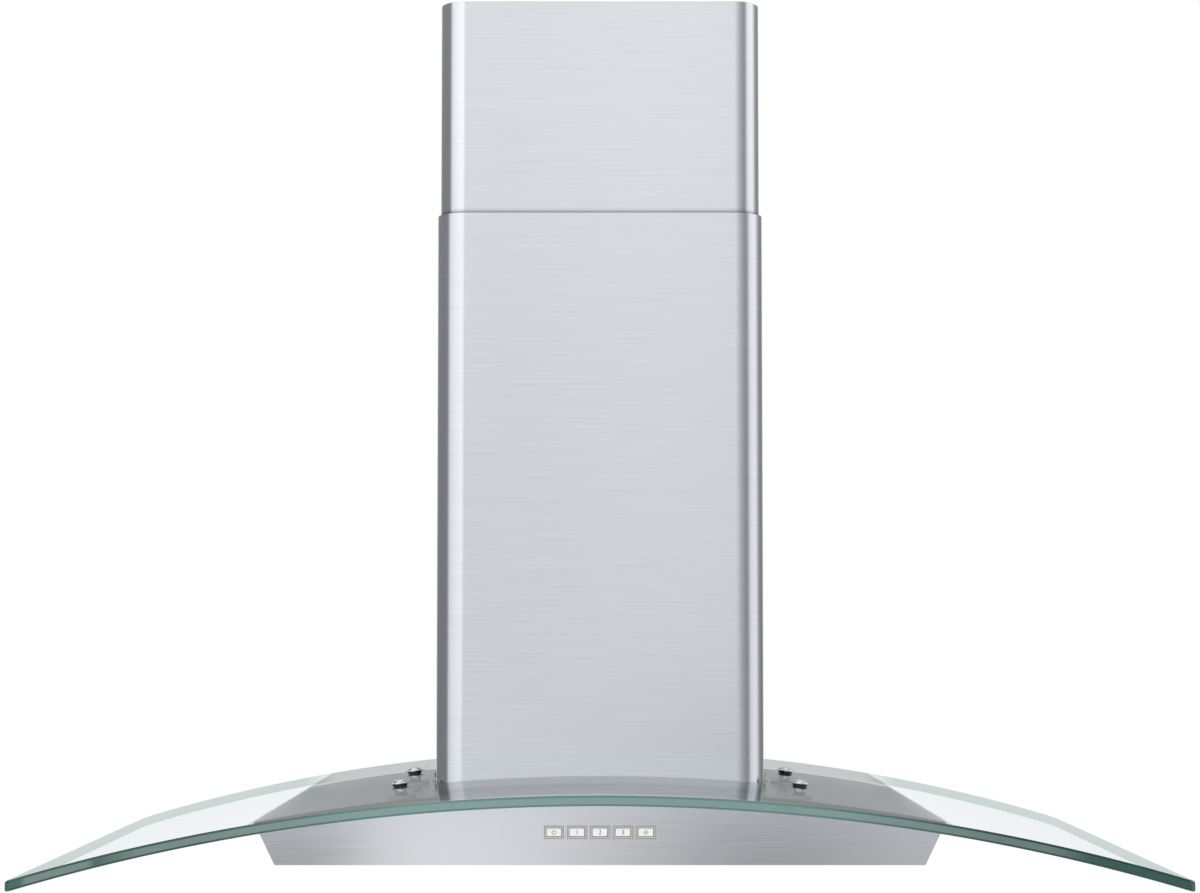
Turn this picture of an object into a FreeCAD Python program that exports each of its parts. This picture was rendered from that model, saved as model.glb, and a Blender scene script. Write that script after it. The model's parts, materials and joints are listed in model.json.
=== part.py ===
"""Wall mount range hood: arched glass canopy on a steel body, telescopic chimney, centrifugal blower.

Millimetres. +X is the viewer's right, +Y points into the wall, +Z is up. The wall is the plane Y = 0,
the hood is centred on X = 0, and Z = 0 is the underside of the body. Depths are given as the distance
"out" from the wall, so out = -Y.
"""
import FreeCAD, Part
import math
import os

V = FreeCAD.Vector
X_AXIS = V(1, 0, 0)
Y_AXIS = V(0, 1, 0)
Z_AXIS = V(0, 0, 1)

# Glass canopy
GLASS_WIDTH = 900.0
GLASS_DEPTH = 500.0
GLASS_BOW = 14.0
GLASS_THICK = 8.0
GLASS_RADIUS = 1564.0
GLASS_REAR_CORNER = 22.0
GLASS_FRONT_CORNER = 8.0
GLASS_WALL_GAP = 2.0
GLASS_NOTCH_GAP = 1.5

# Fixings of the glass
GLASS_SCREW_SIDE = 28.5
GLASS_SCREW_FRONT = 28.0
GLASS_SCREW_PITCH = 136.0
GLASS_SCREW_R = 3.0
GLASS_SCREW_TAIL = 7.0
GLASS_HEAD_R = 7.8
GLASS_HEAD_H = 3.0
GLASS_NUT_ACROSS = 10.0
GLASS_NUT_H = 5.0
GROMMET_R = 4.6
GROMMET_PLAY = 0.2
PAD_R = 12.0
PAD_THICK = 2.0
WASHER_R = 6.0
WASHER_THICK = 2.4

# Steel body under the glass
BODY_DEPTH = 335.0
BODY_HEIGHT = 62.0
BODY_FOOT = 538.0
SIDE_LEAN = 0.4865
SHEET = 1.2
FLANGE = 15.0
LIP = 12.0
LIP_END_GAP = 3.0
PAN_WALL = 12.0
PAN_SCREW_R = 1.75
PAN_SCREW_LENGTH = 7.0
PAN_SCREW_REAR = 40.0
PAN_SCREW_FRONT = 134.0
PANEL_SCREW_INSET = 43.0
PAN_HEAD_R = 3.4
PAN_HEAD_H = 1.0

# Back plate and its wall holes
BACK_SIDE_GAP = 8.0
BACK_RISE = 60.0
HANG_INSET = 23.0
HANG_RISE = 35.0
HANG_R = 4.0
FIX_INSET = 69.0
FIX_UP = 25.0
FIX_R = 3.0

# Chimney covers
CHIMNEY_WIDTH = 277.0
CHIMNEY_SETBACK = 13.0
CHIMNEY_CORNER = 24.0
COVER_SHEET = 0.8
COVER_GAP = 1.7
COVER_FLANGE = 10.0
LOWER_TOP = 546.0
LOWER_WALL_GAP = 2.0
UPPER_TOP = 732.0
UPPER_LENGTH = 477.0
UPPER_WALL_GAP = 6.0
SLIDE_PAD_W = 24.0
SLIDE_PAD_H = 18.0
SLIDE_PAD_DROP = 6.0

# Chimney fixings
FOOT_SCREW_FRONT = 45.0
FOOT_SCREW_RISE = 5.0
BRACKET_THICK = 1.5
BRACKET_WIDTH = 16.0
BRACKET_ABOVE = 12.0
BRACKET_BOX_GAP = 1.0
TOP_SCREW_OUT = 40.0
TOP_SCREW_DROP = 18.0
STRAP_THICK = 2.0
STRAP_HEIGHT = 28.0
STRAP_ARM = 65.0
STRAP_HOLE_INSET = 56.0

# Sheet-metal screws of box, collar, motor and chimney
TAP_R = 2.0
TAP_LENGTH = 6.0
TAP_HEAD_R = 3.6
TAP_HEAD_H = 2.2

# Blower box and scroll
BOX_SHEET = 1.0
BOX_SIDE_GAP = 11.7
BOX_FRONT_GAP = 21.0
BOX_FLANGE = 13.0
BOX_SCREW_INSET = 60.0
SCROLL_WALL = 2.0
SCROLL_HALF = 60.0
SCROLL_REAR_GAP = 65.8
SCROLL_FRONT_GAP = 19.2
SCROLL_FOOT_GAP = 28.0
SCROLL_TONGUE_GAP = 10.0
SCROLL_GROWTH = 36.0
OUTLET_RISE = 44.0
INLET_LAP = 10.0
INLET_FOOT = 4.0
INLET_LIP = 10.5

# Fan wheel and motor
BLADE_CHORD = 13.0
BLADE_THICK = 1.2
BLADE_RIM_GAP = 0.4
BLADE_SWEEP = 9.0
BLADE_HALF_SWEEP = 3.2
FAN_BLADES = 26
FAN_RING = 2.0
FAN_SIDE_GAP = 10.0
FAN_INLET_GAP = 12.0
HUB_R = 11.0
HUB_LENGTH = 24.0
HUB_BACK = 3.0
HUB_GAP = 10.0
MOTOR_WHEEL_GAP = 15.0
MOTOR_SIDE_GAP = 8.0
MOTOR_EDGE = 5.0
MOTOR_BOSS = 6.0
MOTOR_BOSS_R = 12.0
MOTOR_SCREW_OUTSET = 8.0
MOTOR_RING_THICK = 4.0
MOTOR_RING_WIDTH = 16.0
MOTOR_ARM_THICK = 2.5
MOTOR_ARM_WIDTH = 14.0
MOTOR_ARM_END = 6.0
MOTOR_ARMS = 3
SHAFT_R = 4.0
SHAFT_PLAY = 0.05
SHAFT_TAIL = 3.0
SHAFT_NOSE = 9.0
SHAFT_NUT_ACROSS = 13.0
SHAFT_NUT_H = 6.0

# Run capacitor
CAPACITOR_R = 16.0
CAPACITOR_OUT = 36.0
CAPACITOR_UP = 150.0
CAPACITOR_LENGTH = 62.0
CAPACITOR_EDGE = 2.0
TAB_PITCH = 10.0
TAB_WIDTH = 6.0
TAB_THICK = 0.8
TAB_LENGTH = 8.0
STRAP_RISE = 22.0
BAND_HEIGHT = 16.0
BAND_THICK = 1.0
BAND_EAR = 9.0

# Duct collar and damper
DUCT_R = 75.0
DUCT_WALL = 1.0
DUCT_LENGTH = 46.0
DUCT_MOUTH_LAP = 3.0
COLLAR_FLANGE = 8.0
COLLAR_SCREW_INSET = 7.0
DAMPER_LIFT = 25.0
PIN_R = 1.5
PIN_SEAT = 4.0
BEAD_DEPTH = 4.0
BEAD_THICK = 1.2
FLAP_THICK = 1.0
FLAP_RIM_GAP = 1.5
FLAP_EDGE_GAP = 0.6
KNUCKLE_R = 2.9
KNUCKLE_W = 26.0
KNUCKLE_GAP = 1.0
KNUCKLE_ROOT = 2.0
KNUCKLE_PLAY = 0.1

# Controls
BUTTON_COUNT = 5
BUTTON_PITCH = 19.0
BUTTON_UP = 27.0
BUTTON_W = 12.4
BUTTON_H = 6.6
BUTTON_TRAVEL = 1.2
BUTTON_PROUD = 1.6
BUTTON_PLAY = 0.2
BUTTON_EDGE = 0.5
BUTTON_FLANGE = 1.0
BUTTON_FLANGE_THICK = 1.6
STEM_R = 1.6
BEZEL_W = 16.2
BEZEL_H = 10.4
BEZEL_PROUD = 0.6
FRAME_THICK = 3.0
FRAME_END = 16.0
FRAME_H = 12.0
BOARD_GAP = 8.8
BOARD_THICK = 1.6
BOARD_SCREW_R = 1.2
BOARD_SCREW_BITE = 5.0
BOARD_HEAD_R = 2.4
BOARD_HEAD_H = 1.6
POST_R = 2.6
POST_INSET = 5.0
POST_Z = 7.5
SWITCH_HALF = 3.0
SWITCH_H = 4.2
SWITCH_TIP_R = 1.7
SWITCH_TIP_H = 1.0

# Grease filters
FILTER_INNER = 6.0
FILTER_REAR = 36.0
FILTER_FRONT_GAP = 65.0
FILTER_LAMP_GAP = 9.0
FILTER_THICK = 12.0
FILTER_PLAY = 1.0
FILTER_RIM = 14.0
FILTER_LIFT = 0.2
RECESS = 4.0
RIM_LIP = 3.0
MESH_DEPTH = 3.0
HINGE_SETBACK = 8.0
HINGE_UP = 6.2
ROD_R = 2.5
EYE_WALL = 2.0
EYE_WIDTH = 20.0
EYE_INSET = 12.0
TAIL_GAP = 6.0
RING_WIRE = 1.25
RING_PLAY = 0.1
RING_HALF = 20.0
RING_REACH = 24.0
RING_BEND = 4.0
RING_PIVOT_GAP = 5.0
LUG_HALF = 3.0
LUG_SPREAD = 11.0
LUG_INSET = 0.2

# Lamps and their supply
LAMP_SIDE = 54.0
LAMP_FRONT = 50.0
LAMP_R = 36.0
LAMP_HOLE_LAP = 4.0
LAMP_NECK_PLAY = 0.5
LAMP_WALL = 2.5
LAMP_LEDGE = 1.5
LAMP_TRIM = 1.8
LAMP_TRIM_EDGE = 1.2
LENS_THICK = 3.0
LAMP_NECK_H = 8.0
LAMP_HOUSING_H = 20.0
LAMP_ROOF = 10.0
FIN_DEPTH = 7.0
FIN_PITCH = 8.0
FIN_SLOT = 3.2
FIN_SLOTS = 7
DRIVER_GAP = 12.0
DRIVER_OUT = 70.0
DRIVER_W = 60.0
DRIVER_L = 80.0
DRIVER_H = 24.0
DRIVER_EDGE = 2.0
DRIVER_FOOT_L = 10.0
DRIVER_FOOT_W = 24.0
DRIVER_FOOT_H = 2.0

# Mains connection
JUNCTION_HALF = 42.0
JUNCTION_COLLAR_GAP = 4.0
JUNCTION_FRONT_GAP = 8.0
JUNCTION_H = 36.0
LID_EDGE = 6.0
TERMINAL_WAYS = 3
TERMINAL_PITCH = 10.0
TERMINAL_SHIFT = -11.0
TERMINAL_DEPTH = 18.0
TERMINAL_H = 14.0
TERMINAL_WELL_R = 2.2
TERMINAL_WELL = 6.0
TERMINAL_SLOT = 2.0
TERMINAL_SLOT_DEPTH = 3.0
GLAND_X = 22.0
GLAND_R = 8.0
GLAND_BORE = 4.5
GLAND_ACROSS = 20.0
GLAND_HEX_H = 6.0
GLAND_TAIL = 9.0
GLAND_NUT_H = 4.0
GLAND_DOME_R = 9.5
GLAND_DOME_H = 8.0
GLAND_DOME_EDGE = 3.0

# Clearances between pieces, and how far a cut runs past what it cuts
TOUCH = 0.05
HOLE_PLAY = 0.1
RUN = 0.3
PAST = 9.0

# Worked out from the sizes above
ARCH_Z = BODY_HEIGHT + PAD_THICK + GLASS_THICK - GLASS_RADIUS
PLATE_R = BODY_HEIGHT - ARCH_Z
GLASS_UNDER_R = PLATE_R + PAD_THICK
GROMMET_BORE = GLASS_SCREW_R + GROMMET_PLAY
FOOT_HALF = BODY_FOOT / 2
PANEL_BACK = BODY_DEPTH - SHEET
CHIMNEY_DEPTH = BODY_DEPTH - CHIMNEY_SETBACK
CHIMNEY_HALF = CHIMNEY_WIDTH / 2
COVER_INNER = CHIMNEY_HALF - COVER_SHEET
UPPER_HALF = COVER_INNER - COVER_GAP
UPPER_DEPTH = CHIMNEY_DEPTH - COVER_SHEET - COVER_GAP
UPPER_CORNER = CHIMNEY_CORNER - COVER_SHEET - COVER_GAP
UPPER_BOTTOM = UPPER_TOP - UPPER_LENGTH
UPPER_INNER = UPPER_HALF - COVER_SHEET
STRAP_HOLE_X = UPPER_HALF - STRAP_HOLE_INSET
FOOT_SCREW_OUT = BODY_DEPTH - FOOT_SCREW_FRONT
TOP_SCREW_UP = UPPER_TOP - TOP_SCREW_DROP
GLASS_SCREW_X = CHIMNEY_HALF + GLASS_SCREW_SIDE
GLASS_SCREW_OUT = BODY_DEPTH - GLASS_SCREW_FRONT
BOX_HALF = COVER_INNER - BOX_SIDE_GAP
BOX_FRONT = CHIMNEY_DEPTH - COVER_SHEET - BOX_FRONT_GAP
BOX_REAR = SHEET + BOX_SHEET
BOX_MOUTH = BOX_HALF - BOX_SHEET - BOX_FLANGE
BACK_HALF = BOX_HALF - BACK_SIDE_GAP
FIX_X = FOOT_HALF - FIX_INSET
HANG_X = BACK_HALF - HANG_INSET

# The scroll fills the box from front to rear, and the fan wheel fills the scroll. Its wall stands a
# tongue gap off the wheel at the top and grows over three quarters of a turn: a third of the growth
# at the front, two thirds at the foot, all of it at the rear.
SCROLL_SPACE = BOX_FRONT - BOX_SHEET - BOX_REAR - SCROLL_REAR_GAP - SCROLL_FRONT_GAP
FAN_R = (SCROLL_SPACE - SCROLL_GROWTH * 4 / 3) / 2 - SCROLL_TONGUE_GAP - SCROLL_WALL
FAN_BLADE_IN = FAN_R - BLADE_CHORD
SCROLL_START = FAN_R + SCROLL_TONGUE_GAP
SCROLL_END = SCROLL_START + SCROLL_GROWTH
SCROLL_OUT = BOX_REAR + SCROLL_REAR_GAP + SCROLL_WALL + SCROLL_END
SCROLL_UP = BODY_HEIGHT + SCROLL_FOOT_GAP + SCROLL_WALL + SCROLL_START + SCROLL_GROWTH * 2 / 3
INLET_R = FAN_R - INLET_LAP
BOX_TOP = SCROLL_UP + SCROLL_START + OUTLET_RISE
BACK_TOP = BOX_TOP + BACK_RISE
HANG_UP = BOX_TOP + HANG_RISE
MOTOR_R = FAN_BLADE_IN - MOTOR_WHEEL_GAP
MOTOR_REAR = -BOX_HALF + BOX_SHEET + MOTOR_SIDE_GAP
MOTOR_FRONT = -SCROLL_HALF / 2
MOTOR_FOOT_X = -SCROLL_HALF - SCROLL_WALL
MOTOR_SCREW_PCD = INLET_R + MOTOR_SCREW_OUTSET
HUB_X = MOTOR_FRONT + MOTOR_BOSS + HUB_GAP
HUB_END = HUB_X - HUB_BACK + HUB_LENGTH
FAN_LEFT = -SCROLL_HALF + FAN_SIDE_GAP
FAN_RIGHT = SCROLL_HALF - FAN_INLET_GAP
DUCT_OUT = SCROLL_OUT - SCROLL_END / 2
DUCT_INNER = DUCT_R - DUCT_WALL
DAMPER_UP = BOX_TOP + DAMPER_LIFT
COLLAR_HALF = DUCT_R + COLLAR_FLANGE
COLLAR_SCREW = COLLAR_HALF - COLLAR_SCREW_INSET
FRAME_HALF = (BUTTON_COUNT - 1) / 2 * BUTTON_PITCH + FRAME_END
FRAME_BACK = PANEL_BACK - FRAME_THICK
BOARD_FRONT = FRAME_BACK - BOARD_GAP
POST_X = FRAME_HALF - POST_INSET
LAMP_X = FOOT_HALF - LAMP_SIDE
LAMP_OUT = BODY_DEPTH - LAMP_FRONT
LAMP_HOLE_R = LAMP_R - LAMP_HOLE_LAP
LAMP_NECK = LAMP_HOLE_R - LAMP_NECK_PLAY
LAMP_LENS = LAMP_NECK - LAMP_WALL
FILTER_OUTER = LAMP_X - LAMP_R - FILTER_LAMP_GAP
FILTER_FRONT = BODY_DEPTH - FILTER_FRONT_GAP
HINGE_OUT = FILTER_REAR + HINGE_SETBACK
FILTER_TAIL = HINGE_OUT + TAIL_GAP
JUNCTION_REAR = DUCT_OUT + COLLAR_HALF + JUNCTION_COLLAR_GAP
JUNCTION_FRONT = BOX_FRONT - JUNCTION_FRONT_GAP
JUNCTION_MIDDLE = (JUNCTION_REAR + JUNCTION_FRONT) / 2


def block(x0, x1, out0, out1, z0, z1):
    """Box between two X values, two distances from the wall and two heights."""
    return Part.makeBox(x1 - x0, out1 - out0, z1 - z0, V(x0, -out1, z0))


def rod_x(radius, x0, x1, out, z):
    """Round bar along X."""
    return Part.makeCylinder(radius, x1 - x0, V(x0, -out, z), X_AXIS)


def rod_out(radius, out0, out1, x, z):
    """Round bar square to the wall."""
    return Part.makeCylinder(radius, out1 - out0, V(x, -out1, z), Y_AXIS)


def rod_z(radius, z0, z1, x, out):
    """Upright round bar."""
    return Part.makeCylinder(radius, z1 - z0, V(x, -out, z0), Z_AXIS)


def ring_z(outer, inner, z0, z1, x, out):
    """Upright tube."""
    return rod_z(outer, z0, z1, x, out).cut(rod_z(inner, z0, z1, x, out))


def prism_out(points, out0, out1):
    """Polygon in X and Z, extruded from out0 to out1."""
    corners = [V(x, -out1, z) for x, z in points]
    face = Part.Face(Part.makePolygon(corners + corners[:1]))
    return face.extrude(V(0, out1 - out0, 0))


def upright_edges(solid):
    """Edges that run along Z."""
    return [e for e in solid.Edges if len(e.Vertexes) == 2
            and abs(e.tangentAt(e.FirstParameter).dot(Z_AXIS)) > 0.999]


def near_front(edges, out):
    """Edges whose middle is further than out from the wall."""
    return [e for e in edges if -e.CenterOfMass.y > out]


def arch(radius, out0, out1):
    """Solid cylinder under one arch surface, about the axis all arches share."""
    return Part.makeCylinder(radius, out1 - out0, V(0, -out1, ARCH_Z), Y_AXIS)


def arch_slab(inner, outer, x0, x1, out0, out1):
    """Curved plate between two arch radii over a rectangle in plan."""
    low = ARCH_Z + inner / 2
    column = block(x0, x1, out0, out1, low, ARCH_Z + outer + PAST)
    return column.common(arch(outer, out0, out1)).cut(arch(inner, out0, out1))


def on_arch(shape, radius, x, out):
    """Stand a shape made about the Z axis on an arch surface, square to the plate's top at X."""
    placed = shape.copy()
    placed.translate(V(0, -out, ARCH_Z + radius))
    placed.rotate(V(0, 0, ARCH_Z), Y_AXIS, math.degrees(math.asin(x / PLATE_R)))
    return placed


def drill(radius):
    """Cutter about the Z axis, through anything that stands at Z = 0."""
    return Part.makeCylinder(radius, 2 * PAST, V(0, 0, -PAST))


def arch_height(radius, x):
    """Height of an arch surface at X."""
    return ARCH_Z + math.sqrt(radius ** 2 - x ** 2)


def turned(points):
    """Solid of revolution about Z from radius and height points; three numbers mark an arc's middle."""
    edges = []
    last = points[0]
    middle = None
    for point in points[1:] + points[:1]:
        if len(point) == 3:
            middle = V(point[0], 0, point[1])
            continue
        start = V(last[0], 0, last[1])
        end = V(point[0], 0, point[1])
        if middle:
            edges.append(Part.Arc(start, middle, end).toShape())
        else:
            edges.append(Part.makeLine(start, end))
        middle = None
        last = point
    return Part.Face(Part.Wire(edges)).revolve(V(0, 0, 0), Z_AXIS, 360)


def screw(shank_r, length, head_r, head_h):
    """Dome-head screw: head above Z = 0, shank below it."""
    rim = 0.2 * head_h
    cap = head_h - rim
    ball = (head_r ** 2 + cap ** 2) / (2 * cap)
    half_turn = math.asin(head_r / ball) / 2
    dome = (ball * math.sin(half_turn), head_h - ball + ball * math.cos(half_turn), "arc")
    return turned([(0, -length), (shank_r, -length), (shank_r, 0), (head_r, 0), (head_r, rim), dome,
                   (0, head_h)])


def tapping_screw(length):
    """Small sheet-metal screw of the sizes that box, collar, motor and chimney share."""
    return screw(TAP_R, length, TAP_HEAD_R, TAP_HEAD_H)


def hexagon(across, height, bore):
    """Hexagon nut from Z = 0 upwards."""
    corner = across / math.sqrt(3)
    points = [V(corner * math.cos(math.radians(a)), corner * math.sin(math.radians(a)), 0)
              for a in range(0, 360, 60)]
    nut = Part.Face(Part.makePolygon(points + points[:1])).extrude(V(0, 0, height))
    return nut.cut(Part.makeCylinder(bore, height))


def aimed(shape, x, out, z, direction):
    """Turn a shape made along Z to a direction and move it into place."""
    placed = shape.copy()
    placed.Placement = FreeCAD.Placement(V(x, -out, z), FreeCAD.Rotation(Z_AXIS, direction))
    return placed


def mirrored(shape):
    """Copy on the other side of the middle plane."""
    return shape.mirror(V(0, 0, 0), X_AXIS)


def both_sides(shape):
    """The shape and its mirror image as one group."""
    return Part.makeCompound([shape, mirrored(shape)])


def hood_block(inset, radius, out0, out1, z0=0.0):
    """Body outline drawn in by inset: leaning sides under an arched top."""
    lean = inset * math.sqrt(1 + SIDE_LEAN ** 2)
    high = BODY_HEIGHT + PAST
    low_half = FOOT_HALF + SIDE_LEAN * z0 - lean
    high_half = FOOT_HALF + SIDE_LEAN * high - lean
    outline = [(-low_half, z0), (low_half, z0), (high_half, high), (-high_half, high)]
    return prism_out(outline, out0, out1).common(arch(radius, out0, out1))


def glass_screw_places():
    """X and distance from the wall of the four glass screws."""
    outs = (GLASS_SCREW_OUT - GLASS_SCREW_PITCH, GLASS_SCREW_OUT)
    return [(side * GLASS_SCREW_X, out) for side in (-1, 1) for out in outs]


def box_screw_places():
    """X and distance from the wall of the screws through the blower box flange."""
    x = BOX_HALF - BOX_SHEET - BOX_FLANGE / 2
    outs = (BOX_REAR + BOX_SCREW_INSET, BOX_FRONT - BOX_SCREW_INSET)
    return [(side * x, out) for side in (-1, 1) for out in outs]


def pan_screw_places():
    """Screws through the bottom pan into the shell's side flanges."""
    x = FOOT_HALF - SHEET - FLANGE / 2
    outs = (PAN_SCREW_REAR, BODY_DEPTH - PAN_SCREW_FRONT)
    return [(side * x, out) for side in (-1, 1) for out in outs]


def panel_screw_places():
    """Screws through the bottom pan into the front panel's lip."""
    end = FOOT_HALF - PANEL_SCREW_INSET
    return [(x, PANEL_BACK - LIP / 2) for x in (-end, 0.0, end)]


def button_xs():
    """Button centres along X."""
    return [(i - (BUTTON_COUNT - 1) / 2) * BUTTON_PITCH for i in range(BUTTON_COUNT)]


# Body pieces

def canopy_shell():
    """Bent sheet: arched top, leaning sides, inward bottom flanges."""
    shell = hood_block(0, PLATE_R, SHEET, PANEL_BACK)
    shell = shell.cut(hood_block(SHEET, PLATE_R - SHEET, 0, BODY_DEPTH, -PAST))
    rim = hood_block(SHEET, PLATE_R, SHEET, PANEL_BACK)
    rim = rim.common(block(-FOOT_HALF - PAST, FOOT_HALF + PAST, 0, BODY_DEPTH, SHEET, 2 * SHEET))
    clear = FOOT_HALF - SHEET - FLANGE
    shell = shell.fuse(rim.cut(block(-clear, clear, 0, BODY_DEPTH, 0, 3 * SHEET)))
    mouth_out = BOX_FRONT - BOX_SHEET - BOX_FLANGE
    shell = shell.cut(block(-BOX_MOUTH, BOX_MOUTH, SHEET + BOX_FLANGE, mouth_out,
                            BODY_HEIGHT / 2, BODY_HEIGHT + PAST))
    bolt_hole = drill(GROMMET_BORE)
    small_hole = drill(TAP_R + HOLE_PLAY)
    holes = [on_arch(bolt_hole, PLATE_R, x, out) for x, out in glass_screw_places()]
    holes += [on_arch(small_hole, PLATE_R, x, out) for x, out in box_screw_places()]
    holes += [rod_z(PAN_SCREW_R + HOLE_PLAY, 0, PAST, x, out) for x, out in pan_screw_places()]
    return shell.cut(Part.makeCompound(holes)).removeSplitter()


def front_panel():
    """Flat front with the button slots and folded lips."""
    panel = hood_block(0, PLATE_R, PANEL_BACK, BODY_DEPTH)
    lip_half = FOOT_HALF - SHEET - FLANGE - LIP_END_GAP
    foot = block(-lip_half, lip_half, PANEL_BACK - LIP, PANEL_BACK, SHEET, 2 * SHEET)
    top_r = PLATE_R - SHEET - TOUCH
    head = arch_slab(top_r - SHEET, top_r, -lip_half, lip_half, PANEL_BACK - LIP, PANEL_BACK)
    panel = panel.fuse([foot, head])
    for x in button_xs():
        w, h = BEZEL_W / 2 + TOUCH, BEZEL_H / 2 + TOUCH
        z = BUTTON_UP
        panel = panel.cut(block(x - w, x + w, PANEL_BACK - PAST, BODY_DEPTH + PAST, z - h, z + h))
    for x, out in panel_screw_places():
        panel = panel.cut(rod_z(PAN_SCREW_R + HOLE_PLAY, 0, PAST, x, out))
    return panel.removeSplitter()


def back_plate():
    """Plate against the wall: body outline with a tall tongue behind the blower."""
    plate = hood_block(0, PLATE_R, 0, SHEET)
    plate = plate.fuse(block(-BACK_HALF, BACK_HALF, 0, SHEET, BODY_HEIGHT / 2, BACK_TOP))
    for side in (-1, 1):
        plate = plate.cut(rod_out(HANG_R, -PAST, PAST, side * HANG_X, HANG_UP))
        plate = plate.cut(rod_out(FIX_R, -PAST, PAST, side * FIX_X, FIX_UP))
    return plate.removeSplitter()


def filter_opening(side, grow, z0, z1):
    """Space of one filter opening, grown outwards by grow."""
    x0, x1 = sorted((side * (FILTER_INNER - grow), side * (FILTER_OUTER + grow)))
    return block(x0, x1, FILTER_REAR - grow, FILTER_FRONT + grow, z0, z1)


def bottom_pan():
    """Underside sheet with folded walls round two filter openings, and two lamp holes."""
    pan = hood_block(SHEET, PLATE_R, SHEET, PANEL_BACK)
    pan = pan.common(block(-FOOT_HALF, FOOT_HALF, 0, BODY_DEPTH, 0, SHEET))
    for side in (-1, 1):
        pan = pan.fuse(filter_opening(side, SHEET, 0, SHEET + PAN_WALL))
    for side in (-1, 1):
        pan = pan.cut(filter_opening(side, 0, -PAST, SHEET + PAN_WALL + PAST))
        pan = pan.cut(rod_z(LAMP_HOLE_R, -PAST, PAST, side * LAMP_X, LAMP_OUT))
    pan = pan.cut(rod_x(ROD_R + TOUCH, -FILTER_OUTER - PAST, FILTER_OUTER + PAST, HINGE_OUT, HINGE_UP))
    for x, out in pan_screw_places() + panel_screw_places():
        pan = pan.cut(rod_z(PAN_SCREW_R + HOLE_PLAY, -PAST, PAST, x, out))
    return pan.removeSplitter()


def pan_screws():
    """Screws up through the pan into the shell's flanges and the front panel's lip."""
    one = screw(PAN_SCREW_R, PAN_SCREW_LENGTH, PAN_HEAD_R, PAN_HEAD_H)
    places = pan_screw_places() + panel_screw_places()
    return Part.makeCompound([aimed(one, x, out, 0, -Z_AXIS) for x, out in places])


# Glass and its fixings

def glass_canopy():
    """Arched glass with a bowed front edge and a notch for the chimney."""
    half = GLASS_WIDTH / 2
    side_out = GLASS_DEPTH - GLASS_BOW
    low = arch_height(GLASS_UNDER_R, half) - PAST
    high = ARCH_Z + GLASS_RADIUS + PAST
    rear_left = V(-half, -GLASS_WALL_GAP, low)
    rear_right = V(half, -GLASS_WALL_GAP, low)
    front_right = V(half, -side_out, low)
    front_left = V(-half, -side_out, low)
    front = Part.Arc(front_right, V(0, -GLASS_DEPTH, low), front_left).toShape()
    sides = [Part.makeLine(front_left, rear_left), Part.makeLine(rear_left, rear_right),
             Part.makeLine(rear_right, front_right)]
    plan = Part.Face(Part.Wire(sides + [front])).extrude(V(0, 0, high - low))
    rears = [e for e in upright_edges(plan) if -e.CenterOfMass.y < GLASS_DEPTH / 2]
    plan = plan.makeFillet(GLASS_REAR_CORNER, rears)
    fronts = near_front(upright_edges(plan), side_out - TOUCH)
    plan = plan.makeFillet(GLASS_FRONT_CORNER, fronts)
    notch_half = CHIMNEY_HALF + GLASS_NOTCH_GAP
    notch = block(-notch_half, notch_half, -PAST, CHIMNEY_DEPTH + GLASS_NOTCH_GAP, low, high)
    corners = near_front(upright_edges(notch), CHIMNEY_DEPTH / 2)
    plan = plan.cut(notch.makeFillet(CHIMNEY_CORNER + GLASS_NOTCH_GAP, corners))
    glass = plan.common(arch(GLASS_RADIUS, 0, GLASS_DEPTH))
    glass = glass.cut(arch(GLASS_UNDER_R, -PAST, GLASS_DEPTH + PAST))
    return glass.cut(at_glass_screws(drill(GROMMET_R + GROMMET_PLAY), GLASS_UNDER_R + GLASS_THICK / 2))


def at_glass_screws(shape, radius):
    """One copy of a shape at each glass screw, as a group."""
    return Part.makeCompound([on_arch(shape, radius, x, out) for x, out in glass_screw_places()])


def glass_grommets():
    """Soft collars: a pad under the glass and a sleeve through it."""
    sleeve_top = PAD_THICK + GLASS_THICK - TOUCH
    profile = [(GROMMET_BORE, TOUCH), (PAD_R, TOUCH), (PAD_R, PAD_THICK - TOUCH),
               (GROMMET_R, PAD_THICK - TOUCH), (GROMMET_R, sleeve_top), (GROMMET_BORE, sleeve_top)]
    return at_glass_screws(turned(profile), PLATE_R)


def glass_washers():
    """Thick washers that hold the wider screw heads off the glass."""
    profile = [(GROMMET_BORE, TOUCH), (WASHER_R, TOUCH), (WASHER_R, WASHER_THICK),
               (GROMMET_BORE, WASHER_THICK)]
    return at_glass_screws(turned(profile), GLASS_RADIUS)


def glass_screws():
    """Polished dome-head screws through glass and plate."""
    length = WASHER_THICK + GLASS_THICK + PAD_THICK + SHEET + GLASS_SCREW_TAIL
    one = screw(GLASS_SCREW_R, length, GLASS_HEAD_R, GLASS_HEAD_H)
    return at_glass_screws(one, GLASS_RADIUS + WASHER_THICK)


def glass_nuts():
    """Hexagon nuts under the arched plate."""
    nut = hexagon(GLASS_NUT_ACROSS, GLASS_NUT_H, GLASS_SCREW_R + TOUCH)
    return at_glass_screws(nut, PLATE_R - SHEET - TOUCH - GLASS_NUT_H)


# Chimney

def foot_screw_up():
    """Height of the screws at the foot of the lower cover, just above the glass."""
    return arch_height(GLASS_RADIUS, CHIMNEY_HALF) + FOOT_SCREW_RISE


def u_cover(half, depth, corner, rear, z0, z1):
    """Sheet bent to a U in plan, open towards the wall, with round front corners."""
    outer = block(-half, half, rear, depth, z0, z1)
    outer = outer.makeFillet(corner, near_front(upright_edges(outer), depth / 2))
    inside = half - COVER_SHEET
    inner = block(-inside, inside, rear - PAST, depth - COVER_SHEET, z0 - PAST, z1 + PAST)
    inner = inner.makeFillet(corner - COVER_SHEET, near_front(upright_edges(inner), depth / 2))
    return outer.cut(inner)


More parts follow.
